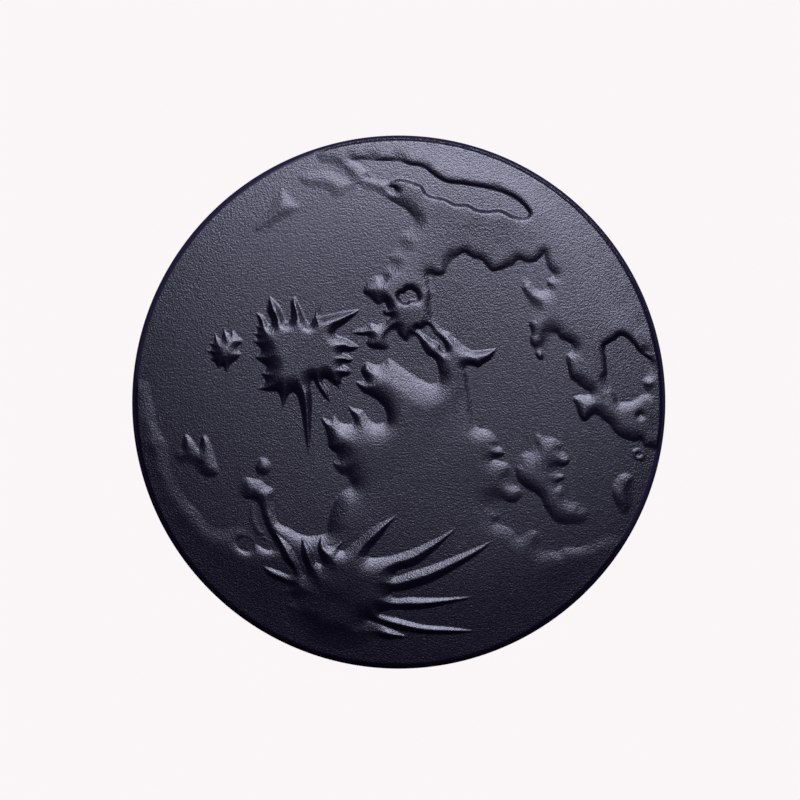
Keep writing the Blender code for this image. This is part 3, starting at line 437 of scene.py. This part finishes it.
def shore_distance(outlines):
    """Distance from each net point to the nearest outline, negative inside one."""
    nearest = np.full(ACROSS.shape, SHORE_REACH)
    crossed = np.zeros(ACROSS.shape, int)
    last = len(AXIS)
    for outline in outlines:
        line = smooth_line(outline)
        for start, end in zip(line, np.roll(line, -1, axis=0)):
            low = net_index(np.minimum(start, end) - SHORE_REACH).astype(int)
            high = net_index(np.maximum(start, end) + SHORE_REACH).astype(int) + 2
            left, bottom = np.clip(low, 0, last)
            right, top = np.clip(high, 0, last)
            x = AXIS[left:right] - start[0]
            y = AXIS[bottom:top, None] - start[1]
            run = end - start
            share = np.clip((x * run[0] + y * run[1]) / max(run @ run, 1e-9), 0, 1)
            gap = np.hypot(x - share * run[0], y - share * run[1])
            patch = nearest[bottom:top, left:right]
            np.minimum(patch, gap, out=patch)
            if start[1] != end[1]:
                first, second = sorted(net_index(np.array([start[1], end[1]])))
                rows = np.arange(max(math.ceil(first), 0), min(math.ceil(second), last))
                slant = (end[0] - start[0]) / (end[1] - start[1])
                columns = net_index(start[0] + (AXIS[rows] - start[1]) * slant)
                columns = np.clip(np.ceil(columns).astype(int), 0, last - 1)
                crossed[rows, columns] += 1
    inside = np.cumsum(crossed, axis=1) % 2 == 1
    return np.where(inside, -nearest, nearest)


def spread(spots, where, value, core, power):
    """Blend of one value of the nearest spots at each chosen net point."""
    x, y = ACROSS[where], ALONG[where]
    total = np.zeros(x.shape)
    blend = np.zeros(x.shape)
    for spot in spots:
        weight = ((x - spot[0]) ** 2 + (y - spot[1]) ** 2 + core) ** -power
        total += weight
        blend += weight * spot[value]
    return blend / total


def raised(distance, slopes):
    """Height of raised ground from its distance field."""
    height = np.zeros(distance.shape)
    ground = distance > 0
    width = spread(slopes, ground, WIDTH, *CLOSE_BLEND)
    top = spread(slopes, ground, HEIGHT, *BROAD_BLEND)
    foot = spread(slopes, ground, FOOT, *CLOSE_BLEND)
    shoulder = spread(slopes, ground, SHOULDER, *CLOSE_BLEND)
    share = np.clip(distance[ground] / width, 0.0, 1.0)
    height[ground] = top * (1.0 - (1.0 - share**foot) ** shoulder)
    return height


def marks_height(marks):
    """Height of rounded rises and dents over the whole net."""
    total = np.zeros(ACROSS.shape)
    for across, along, length, width, turn, height in marks:
        turn = math.radians(turn)
        x, y = ACROSS - across, ALONG - along
        u = (x * math.cos(turn) + y * math.sin(turn)) / length
        v = (y * math.cos(turn) - x * math.sin(turn)) / width
        total += height * np.exp(-(u * u + v * v))
    return total


def softened(field, sigma):
    """The field with its sharpest creases rounded, as a pressed surface has them."""
    reach = int(math.ceil(3 * sigma / STEP))
    weights = np.exp(-0.5 * (np.arange(-reach, reach + 1) * STEP / sigma) ** 2)
    weights /= weights.sum()
    for axis in (0, 1):
        padded = np.pad(field, [(reach, reach) if k == axis else (0, 0) for k in (0, 1)], "edge")
        size = field.shape[axis]
        field = sum(
            weight * np.take(padded, np.arange(k, k + size), axis)
            for k, weight in enumerate(weights)
        )
    return field


def eased(field, distance, foot_sigma, inner_sigma):
    """The field softened a little along its foot and more away from it."""
    share = np.clip((distance - EASE_START) / EASE_REACH, 0.0, 1.0)
    return softened(field, foot_sigma) * (1 - share) + softened(field, inner_sigma) * share


def plain_height(radius):
    """Height of the moon's plains: a dome that falls faster near the rim."""
    share = radius / RADIUS
    return CENTRE_THICKNESS - FACE_FALL * (EVEN_FALL * share**2 + RIM_FALL * share**4)


# The edge is a round that runs on from the slope of the face.
FACE_SLOPE = 0.25
FACE_END = RADIUS - EDGE_ROUND * (1 - FACE_SLOPE / math.hypot(1.0, FACE_SLOPE))
EDGE_MIDDLE = plain_height(FACE_END) - EDGE_ROUND / math.hypot(1.0, FACE_SLOPE)
ON_EDGE = np.clip(FROM_CENTRE - RADIUS + EDGE_ROUND, 0.0, EDGE_ROUND)
PLAIN = np.where(
    FROM_CENTRE < FACE_END,
    plain_height(FROM_CENTRE),
    EDGE_MIDDLE + np.sqrt(EDGE_ROUND**2 - ON_EDGE**2),
)


# ------------------------------------------------------------------------- making
def select_nothing():
    bpy.ops.object.select_all(action="DESELECT")


def take_active(name):
    piece = bpy.context.object
    piece.name = name
    piece.data.name = name
    return piece


def spun_piece(name, profile):
    """Turned body from a closed line of (radius, height) points."""
    select_nothing()
    bpy.ops.mesh.primitive_circle_add(vertices=len(profile), radius=MM)
    piece = take_active(name)
    for vertex, (radius, height) in zip(piece.data.vertices, profile):
        vertex.co = (radius * MM, 0.0, height * MM)
    bpy.ops.object.mode_set(mode="EDIT")
    bpy.ops.mesh.select_all(action="SELECT")
    bpy.ops.mesh.spin(steps=TURN_STEPS, angle=math.tau, center=(0, 0, 0), axis=(0, 0, 1))
    bpy.ops.mesh.select_all(action="SELECT")
    bpy.ops.mesh.remove_doubles(threshold=MERGE_DISTANCE * MM)
    bpy.ops.mesh.dissolve_degenerate(threshold=THINNEST_EDGE * MM)
    bpy.ops.mesh.normals_make_consistent(inside=False)
    bpy.ops.object.mode_set(mode="OBJECT")
    select_nothing()
    piece.select_set(True)
    bpy.ops.object.shade_smooth_by_angle(angle=math.radians(CREASE_ANGLE))
    return piece


def relief_piece(name, distance, ground, height, chosen):
    """Piece of pressed relief: its face follows ground + height, over a thin body."""
    shown = ground + height
    top = shown - SKIRT_SLOPE * np.maximum(-distance - SKIRT_START, 0.0)
    corners = distance > -SKIRT
    cells = corners[:-1, :-1] & corners[1:, :-1] & corners[:-1, 1:] & corners[1:, 1:]
    cells &= chosen[:-1, :-1]
    rows, columns = np.nonzero(cells)
    bottom, left = rows.min(), columns.min()
    cells_up, cells_right = rows.max() - bottom + 1, columns.max() - left + 1

    select_nothing()
    bpy.ops.mesh.primitive_grid_add(
        x_subdivisions=cells_right, y_subdivisions=cells_up, size=1.0
    )
    piece = take_active(name)
    mesh = piece.data
    count = len(mesh.vertices)
    places = np.empty(count * 3, np.float32)
    mesh.vertices.foreach_get("co", places)
    places = places.reshape(-1, 3).astype(float)
    column = np.rint((places[:, 0] + 0.5) * cells_right).astype(int) + left
    row = np.rint((places[:, 1] + 0.5) * cells_up).astype(int) + bottom
    places = np.stack([AXIS[column], AXIS[row], ground[row, column] - RELIEF_DEPTH], axis=1)
    mesh.vertices.foreach_set("co", (places * MM).astype(np.float32).ravel())

    corner = np.empty(len(mesh.loops), np.int32)
    mesh.loops.foreach_get("vertex_index", corner)
    face_corners = corner.reshape(-1, 4)
    face_row = row[face_corners].min(axis=1)
    face_column = column[face_corners].min(axis=1)
    waste = ~cells[face_row, face_column]
    mesh.vertices.foreach_set("select", np.zeros(count, bool))
    mesh.edges.foreach_set("select", np.zeros(len(mesh.edges), bool))
    mesh.polygons.foreach_set("select", waste)
    bpy.ops.object.mode_set(mode="EDIT")
    bpy.ops.mesh.select_mode(type="FACE")
    bpy.ops.mesh.delete(type="FACE")
    bpy.ops.mesh.select_all(action="SELECT")
    bpy.ops.mesh.extrude_region_move(TRANSFORM_OT_translate={"value": (0, 0, RELIEF_DEPTH * MM)})
    bpy.ops.object.mode_set(mode="OBJECT")

    upper = np.empty(len(mesh.vertices), bool)
    mesh.vertices.foreach_get("select", upper)
    places = np.empty(len(mesh.vertices) * 3, np.float32)
    mesh.vertices.foreach_get("co", places)
    places = places.reshape(-1, 3).astype(float) / MM
    column = np.rint(net_index(places[:, 0])).astype(int)
    row = np.rint(net_index(places[:, 1])).astype(int)
    places[upper, 2] = top[row[upper], column[upper]]
    mesh.vertices.foreach_set("co", (places * MM).astype(np.float32).ravel())
    mesh.update()

    triangles = 2 * len(mesh.polygons)
    if triangles > MOST_TRIANGLES:
        thinning = piece.modifiers.new("thinning", "DECIMATE")
        thinning.ratio = MOST_TRIANGLES / triangles
        bpy.ops.object.modifier_apply(modifier=thinning.name)
    set_relief_normals(piece.data, shown)
    return piece


def set_relief_normals(mesh, shown):
    """Give the face the exact slopes of the relief, so that it shades smoothly."""
    along_slope, across_slope = np.gradient(shown, STEP)
    places = np.empty(len(mesh.vertices) * 3, np.float32)
    mesh.vertices.foreach_get("co", places)
    places = places.reshape(-1, 3).astype(float) / MM
    column = np.clip(net_index(places[:, 0]), 0, len(AXIS) - 1.001)
    row = np.clip(net_index(places[:, 1]), 0, len(AXIS) - 1.001)
    low_column, low_row = column.astype(int), row.astype(int)
    right, up = column - low_column, row - low_row

    def sampled(field):
        lower = field[low_row, low_column] * (1 - right) + field[low_row, low_column + 1] * right
        upper = (
            field[low_row + 1, low_column] * (1 - right)
            + field[low_row + 1, low_column + 1] * right
        )
        return lower * (1 - up) + upper * up

    normals = np.stack(
        [-sampled(across_slope), -sampled(along_slope), np.ones(len(places))], axis=1
    )
    normals /= np.linalg.norm(normals, axis=1)[:, None]
    on_face = places[:, 2] > sampled(shown) - FACE_MARGIN
    normals[~on_face] = 0.0
    mesh.shade_smooth()
    mesh.normals_split_custom_set_from_vertices(normals.tolist())


def placed(piece, nodes, material):
    """Tie a piece to the CAD nodes it stands for and give it its finish."""
    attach(piece, "root")
    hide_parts(*nodes)
    piece.data.materials.clear()
    piece.data.materials.append(material)


# ---------------------------------------------------------------------- materials
class Value:
    """A shader socket that can be used in ordinary sums."""

    def __init__(self, nodes, socket):
        self.nodes = nodes
        self.socket = socket

    def maths(self, operation, first, second):
        return self.nodes.add("ShaderNodeMath", {"operation": operation}, {0: first, 1: second})

    def __add__(self, other):
        return self.maths("ADD", self, other)

    __radd__ = __add__

    def __mul__(self, other):
        return self.maths("MULTIPLY", self, other)

    __rmul__ = __mul__

    def __sub__(self, other):
        return self.maths("SUBTRACT", self, other)

    def __rsub__(self, other):
        return self.maths("SUBTRACT", other, self)


class Nodes:
    """Adds nodes to one material's tree."""

    def __init__(self, tree):
        self.tree = tree

    def feed(self, node, sockets):
        """Give a node's sockets their values or links."""
        for name, value in sockets.items():
            if isinstance(value, Value):
                self.tree.links.new(value.socket, node.inputs[name])
            else:
                node.inputs[name].default_value = value

    def add(self, kind, settings=None, sockets=None, output=0):
        """New node of a kind; what comes back is one of its outputs, if it has any."""
        node = self.tree.nodes.new(kind)
        for name, setting in (settings or {}).items():
            setattr(node, name, setting)
        self.feed(node, sockets or {})
        return Value(self, node.outputs[output]) if node.outputs else None


COOL_SHEEN = (0.765, 0.765, 1.0, 1.0)


def new_material(name):
    material = bpy.data.materials.new(name)
    material.use_nodes = True
    tree = material.node_tree
    return material, tree.nodes["Principled BSDF"], Nodes(tree)


def ink_material():
    """Satin pressed ink: a fine grain over soft clouds."""
    material, shader, nodes = new_material("satin_pressed_ink")
    place = nodes.add("ShaderNodeTexCoord", output="Object")
    fine = nodes.add(
        "ShaderNodeTexNoise", None,
        {"Vector": place, "Scale": 4200.0, "Detail": 2.0, "Roughness": 0.6},
    )
    cloud = nodes.add(
        "ShaderNodeTexNoise", None,
        {"Vector": place, "Scale": 160.0, "Detail": 3.0, "Roughness": 0.5},
    )
    colour = nodes.add(
        "ShaderNodeMix", {"data_type": "RGBA"},
        {"Factor": cloud, "A": (0.0013, 0.0008, 0.0044, 1.0), "B": (0.0025, 0.0017, 0.0068, 1.0)},
        output=2,
    )
    roughness = 0.31 + (fine - 0.5) * 0.10 + (cloud - 0.5) * 0.04
    bump = nodes.add(
        "ShaderNodeBump", None,
        {"Strength": 1.0, "Distance": 0.000090, "Height": fine},
    )
    nodes.feed(shader, {
        "Base Color": colour, "Roughness": roughness, "Normal": bump,
        "Specular IOR Level": 0.5, "Specular Tint": COOL_SHEEN,
    })
    return material


def lacquer_material():
    """Black lacquer, with the faint unevenness of a brushed coat."""
    material, shader, nodes = new_material("edge_black_lacquer")
    place = nodes.add("ShaderNodeTexCoord", output="Object")
    cloud = nodes.add(
        "ShaderNodeTexNoise", None,
        {"Vector": place, "Scale": 900.0, "Detail": 2.0, "Roughness": 0.5},
    )
    roughness = 0.26 + (cloud - 0.5) * 0.06
    bump = nodes.add(
        "ShaderNodeBump", None,
        {"Strength": 1.0, "Distance": 0.000004, "Height": cloud},
    )
    nodes.feed(shader, {
        "Roughness": roughness, "Normal": bump, "Base Color": (0.0062, 0.0050, 0.0150, 1.0),
        "Specular IOR Level": 0.12, "Specular Tint": COOL_SHEEN,
    })
    return material


# --------------------------------------------------------------------- the pieces
ink = ink_material()
lacquer = lacquer_material()


def edge_curve(inset):
    """Points of the rounded edge, from the face outwards, this far under its surface."""
    turns = np.linspace(math.atan2(1.0, FACE_SLOPE), 0.0, EDGE_STEPS + 1)
    reach = EDGE_ROUND - inset
    return [
        (RADIUS - EDGE_ROUND + reach * math.cos(turn), EDGE_MIDDLE + reach * math.sin(turn))
        for turn in turns
    ]


rings = np.linspace(0.0, FACE_END, FACE_RINGS + 1)
block_profile = [(radius, plain_height(radius)) for radius in rings]
block_profile += edge_curve(LACQUER_THICKNESS)
block_profile += [
    (RADIUS - LACQUER_THICKNESS, LACQUER_FOOT), (RADIUS, LACQUER_FOOT),
    (RADIUS, BACK_CHAMFER), (RADIUS - BACK_CHAMFER, 0.0), (0.0, 0.0),
]
block = spun_piece("pressed_block", block_profile)
placed(block, ["ink_block"], ink)

outer = edge_curve(0.0) + [(RADIUS, LACQUER_FOOT)]
inner = [(RADIUS - LACQUER_THICKNESS, LACQUER_FOOT)] + edge_curve(LACQUER_THICKNESS)[::-1]
band = spun_piece("lacquer_band", outer + inner)
placed(band, ["edge_lacquer"], lacquer)

land_distance = shore_distance(
    [WESTERN_SEA, EASTERN_SEA, NORTHERN_PLAIN, EASTERN_PLAIN, RING_PIT, SLOT_PIT]
)
rim_share = np.clip((RELIEF_RIM - FROM_CENTRE) / RIM_FADE, 0.0, 1.0)
rim_fade = rim_share * rim_share * (3 - 2 * rim_share)

# Along the limb the land keeps a gentle height, most of it towards the upper right.
LIMB_PLACE, LIMB_STEP, LIMB_WIDTH = 36.0, 6.0, 1.8
LIMB_HEIGHT, LIMB_SWING, LIMB_LEAST, LIMB_HIGHEST = 0.12, 0.14, 0.03, 65.0
LIMB_FOOT, LIMB_SHOULDER = 1.3, 2.0
LIMB = []
for turn in np.radians(np.arange(0.0, 360.0, LIMB_STEP)):
    limb_height = LIMB_HEIGHT + LIMB_SWING * math.cos(turn - math.radians(LIMB_HIGHEST))
    LIMB.append((
        LIMB_PLACE * math.cos(turn), LIMB_PLACE * math.sin(turn),
        LIMB_WIDTH, max(limb_height, LIMB_LEAST), LIMB_FOOT, LIMB_SHOULDER,
    ))
land_height = raised(land_distance, LAND_SLOPES + LIMB)
land_height += marks_height(LAND_MARKS) * np.clip(land_distance / LAND_MARK_RISE, 0, 1)
land_height = eased(land_height, land_distance, *LAND_SOFTENING) * rim_fade
land_height += marks_height(LAND_NICKS)
land_distance = np.minimum(land_distance, RELIEF_RIM - FROM_CENTRE)

# The land is one casting, parted here into four pieces along lines of the net.
NORTH_SEAM, SOUTH_SEAM, EAST_SEAM, WEST_SEAM = 17.8, 3.0, 15.5, -17.7
EAST_LAND_END, WEST_LAND_END, SEAM_MARGIN = -7.5, 4.0, 0.01
north = (ALONG > NORTH_SEAM - SEAM_MARGIN) | ((ACROSS > EAST_SEAM) & (ALONG > EAST_LAND_END))
west = (ACROSS < WEST_SEAM - SEAM_MARGIN) & (ALONG < WEST_LAND_END)
mountains = ~north & ~west & (ALONG > SOUTH_SEAM - SEAM_MARGIN)
south = ~north & ~west & ~mountains
land_parts = [
    ("north_highland_relief", "north_highland", north),
    ("mountain_relief", "mountain_range", mountains),
    ("south_highland_relief", "south_highland", south),
    ("west_limb_relief", "west_limb_highland", west),
]
for name, node, chosen in land_parts:
    piece = relief_piece(name, land_distance, PLAIN, land_height, chosen)
    placed(piece, [node], ink)

# name, node it stands for, outline, slopes as in LAND_SLOPES, marks as in LAND_MARKS,
# softening away from the foot
ISLANDS = [
    ("large_ray_relief", "large_ray_crater", LARGE_RAY_CRATER, [
        (-17.0, 12.5, 1.8, 0.9, 1.5, 3.0), (-14.0, 12.5, 1.8, 0.9, 1.5, 3.0),
        (-11.0, 12.5, 1.6, 0.9, 1.5, 3.0), (-8.0, 11.5, 1.8, 0.9, 1.4, 3.0),
        (-7.5, 8.5, 2.0, 0.9, 1.2, 2.5), (-7.3, 6.0, 1.6, 0.8, 1.1, 2.2),
        (-8.5, 3.2, 2.2, 0.9, 1.0, 2.1), (-10.5, 3.0, 2.0, 0.9, 1.0, 2.1),
        (-12.8, 0.5, 1.4, 0.8, 1.3, 2.0), (-15.0, 1.5, 2.6, 1.0, 1.0, 2.0),
        (-18.5, 2.8, 3.0, 1.0, 1.0, 2.0), (-20.0, 6.0, 3.0, 1.0, 1.0, 2.0),
        (-20.0, 9.5, 2.6, 1.0, 1.0, 2.0), (-19.5, 12.0, 1.6, 0.9, 1.2, 2.0),
    ], [], 0.12),
    ("small_ray_relief", "small_ray_crater", SMALL_RAY_CRATER,
     [(-24.5, 7.2, 3.0, 1.2, 1.0, 1.6)], [], 0.45),
    ("south_east_relief", "south_east_island", SOUTH_EAST_ISLAND, [
        (19.5, -4.8, 2.8, 0.50, 1.4, 2.5), (22.0, -5.2, 2.6, 0.48, 1.3, 2.5),
        (17.3, -7.1, 2.0, 0.28, 1.4, 2.5), (18.7, -6.0, 3.4, 0.25, 1.6, 2.0),
        (23.3, -7.2, 1.8, 0.30, 1.4, 2.2), (23.3, -8.9, 1.0, 0.26, 1.0, 2.0),
        (22.4, -9.6, 2.8, 0.30, 1.5, 2.0), (22.9, -11.1, 1.1, 0.28, 1.0, 2.0),
        (22.9, -12.0, 1.8, 0.32, 1.3, 2.2), (23.9, -13.7, 2.4, 0.30, 1.4, 2.5),
        (26.3, -15.0, 2.8, 0.30, 1.4, 2.5), (26.3, -16.8, 2.6, 0.22, 1.2, 2.0),
        (23.5, -17.1, 2.2, 0.34, 1.1, 2.0), (20.5, -14.5, 2.0, 0.60, 1.0, 2.0),
        (18.0, -12.0, 2.2, 0.70, 1.0, 2.0), (16.5, -9.8, 2.2, 0.60, 1.0, 2.0),
        (16.4, -8.2, 3.4, 0.40, 1.5, 2.0),
    ], [], 0.30),
    ("east_island_relief", "east_island", EAST_ISLAND, [
        (31.5, -10.2, 2.4, 0.4, 1.2, 2.5), (33.3, -12.5, 4.0, 0.25, 1.6, 2.0),
        (31.8, -15.5, 2.4, 0.35, 1.3, 2.0), (30.2, -13.5, 1.7, 0.50, 1.1, 2.0),
    ], [], 0.35),
    ("east_ring_relief", "east_ring_crater", EAST_RING_CRATER,
     [(33.8, -7.2, 0.8, 0.22, 1.2, 2.0)], [(33.75, -7.35, 0.45, 0.4, 0.0, -0.3)], 0.10),
    ("north_west_relief", "north_west_island", NORTH_WEST_ISLAND,
     [(-17.0, 27.0, 2.6, 0.32, 1.8, 2.5)], [], 0.40),
    ("west_island_relief", "west_island", WEST_ISLAND, [
        (-29.4, -5.0, 2.0, 0.55, 1.1, 2.2), (-27.2, -4.9, 2.0, 0.55, 1.1, 2.2),
        (-25.4, -8.5, 2.0, 0.45, 1.3, 2.2), (-26.0, -10.4, 2.4, 0.50, 1.1, 2.0),
        (-29.5, -9.0, 3.4, 0.40, 1.4, 2.0), (-31.6, -7.2, 3.0, 0.30, 1.5, 2.0),
    ], [], 0.30),
    ("west_knoll_relief", "west_knoll", WEST_KNOLL,
     [(-19.0, -9.0, 1.8, 0.42, 1.3, 2.0)], [], 0.30),
    ("basin_knoll_relief", "basin_knoll", BASIN_KNOLL,
     [(-20.0, -16.5, 1.6, 0.18, 1.6, 2.0)], [], 0.30),
]
everywhere = FROM_CENTRE < RELIEF_RIM + SKIRT
for name, node, outline, slopes, marks, inner_sigma in ISLANDS:
    distance = -shore_distance([outline])
    height = raised(distance, slopes)
    height += marks_height(marks) * np.clip(distance / ISLAND_MARK_RISE, 0, 1)
    height = eased(height, distance, ISLAND_FOOT_SOFTENING, inner_sigma)
    piece = relief_piece(name, distance, PLAIN, height, everywhere)
    placed(piece, [node], ink)

SOUTHERN_RAYS = [
    (-1.5, -17.8, 1.8, 0.8, 1.0, 1.6), (2.0, -21.5, 2.2, 0.8, 1.0, 1.6),
    (6.0, -23.5, 2.0, 0.8, 1.0, 1.6), (6.0, -28.0, 1.8, 0.8, 1.0, 1.6),
    (5.0, -31.7, 1.6, 0.8, 1.0, 1.6), (0.0, -32.5, 1.4, 0.8, 1.0, 1.6),
    (-4.5, -23.5, 3.0, 0.8, 1.0, 2.2), (-3.0, -28.5, 3.0, 0.8, 1.0, 2.0),
    (-16.0, -20.5, 1.6, 0.8, 1.0, 1.6), (-13.3, -21.0, 1.4, 0.8, 1.0, 1.6),
    (-11.0, -20.5, 1.4, 0.8, 1.0, 1.6), (-8.5, -20.8, 2.2, 0.8, 1.0, 2.0),
    (-17.5, -24.0, 1.8, 0.7, 1.0, 1.6), (-16.0, -27.5, 3.6, 0.4, 1.3, 2.0),
    (-9.0, -26.0, 3.0, 0.8, 1.0, 2.0), (-9.0, -28.5, 4.4, 0.5, 1.2, 2.2),
    (-12.5, -27.0, 4.4, 0.5, 1.2, 2.2), (-14.5, -31.5, 6.0, 0.4, 1.5, 2.0),
    (-9.0, -34.5, 6.0, 0.4, 1.5, 2.0), (-5.0, -34.0, 5.0, 0.45, 1.4, 2.0),
]
ray_distance = -shore_distance([SOUTHERN_RAY_CRATER])
ray_height = eased(raised(ray_distance, SOUTHERN_RAYS), ray_distance, *RAY_SOFTENING)
ray_height *= rim_fade
ray_ground = PLAIN + land_height
piece = relief_piece("southern_ray_relief", ray_distance, ray_ground, ray_height, everywhere)
placed(piece, ["southern_ray_crater"], ink)


# ------------------------------------------------------------ floor, light, camera
def plain_emission(name, colour):
    """Even pale material that is the same under any light."""
    material = bpy.data.materials.new(name)
    material.use_nodes = True
    material.node_tree.nodes.clear()
    nodes = Nodes(material.node_tree)
    glow = nodes.add("ShaderNodeEmission", None, {"Color": (*colour, 1.0)})
    nodes.add("ShaderNodeOutputMaterial", None, {"Surface": glow})
    return material


PAPER = (0.956, 0.922, 0.930)
STUDIO_DARK = (0.004, 0.004, 0.005)
FLOOR_SIZE = 40.0
FLOOR_GAP = 0.05

select_nothing()
bpy.ops.mesh.primitive_plane_add(size=FLOOR_SIZE, location=(0, 0, -FLOOR_GAP * MM))
floor = take_active("pale_floor")
floor.data.materials.append(plain_emission("pale_paper", PAPER))
floor.visible_glossy = False
floor.visible_diffuse = False
floor.visible_shadow = False

world = bpy.data.worlds.new("studio")
bpy.context.scene.world = world
world.use_nodes = True
world.node_tree.nodes.clear()
studio = Nodes(world.node_tree)
seen = studio.add("ShaderNodeLightPath", output="Is Camera Ray")
dark = studio.add("ShaderNodeBackground", None, {"Color": (*STUDIO_DARK, 1.0)})
pale = studio.add("ShaderNodeBackground", None, {"Color": (*PAPER, 1.0)})
backdrop = studio.add("ShaderNodeMixShader", None, {0: seen, 1: dark, 2: pale})
studio.add("ShaderNodeOutputWorld", None, {"Surface": backdrop})


def softbox(name, azimuth, from_zenith, distance, width, height, power):
    """Rectangular light, in metres and watts; azimuth is measured from +Y towards +X."""
    turn, lean = math.radians(azimuth), math.radians(from_zenith)
    place = (
        distance * math.sin(lean) * math.sin(turn),
        distance * math.sin(lean) * math.cos(turn),
        distance * math.cos(lean),
    )
    data = bpy.data.lights.new(name, "AREA")
    data.shape = "RECTANGLE"
    data.size = width
    data.size_y = height
    data.energy = power
    lamp = bpy.data.objects.new(name, data)
    bpy.context.scene.collection.objects.link(lamp)
    lamp.location = place
    lamp.rotation_euler = (lean, 0.0, math.pi - turn)
    lamp.visible_camera = False


softbox("key_softbox", azimuth=12.0, from_zenith=48.0, distance=1.0,
        width=0.95, height=0.63, power=35.0)
softbox("ceiling_softbox", azimuth=12.0, from_zenith=13.0, distance=1.0,
        width=0.95, height=0.58, power=2.9)

# The camera looks straight down, nearly over the middle, and the stick's radius takes
# up a third of the view.
RADIUS_IN_VIEW = 0.33325
VIEW_WIDTH = RADIUS / RADIUS_IN_VIEW
CAMERA_ACROSS, CAMERA_ALONG = 0.174402, 0.293952
CAMERA_HEIGHT = 3000.0
FOCUS_LEVEL = 6.0
SENSOR_WIDTH = 36.0
camera_data = bpy.data.cameras.new("camera")
camera = bpy.data.objects.new("camera", camera_data)
bpy.context.scene.collection.objects.link(camera)
bpy.context.scene.camera = camera
camera.location = (CAMERA_ACROSS * MM, CAMERA_ALONG * MM, (CAMERA_HEIGHT + FOCUS_LEVEL) * MM)
camera_data.sensor_width = SENSOR_WIDTH
camera_data.lens = SENSOR_WIDTH * CAMERA_HEIGHT / VIEW_WIDTH
camera_data.clip_start = 0.1
camera_data.clip_end = 20.0

bpy.context.scene.view_settings.view_transform = "Standard"
bpy.context.scene.view_settings.look = "None"
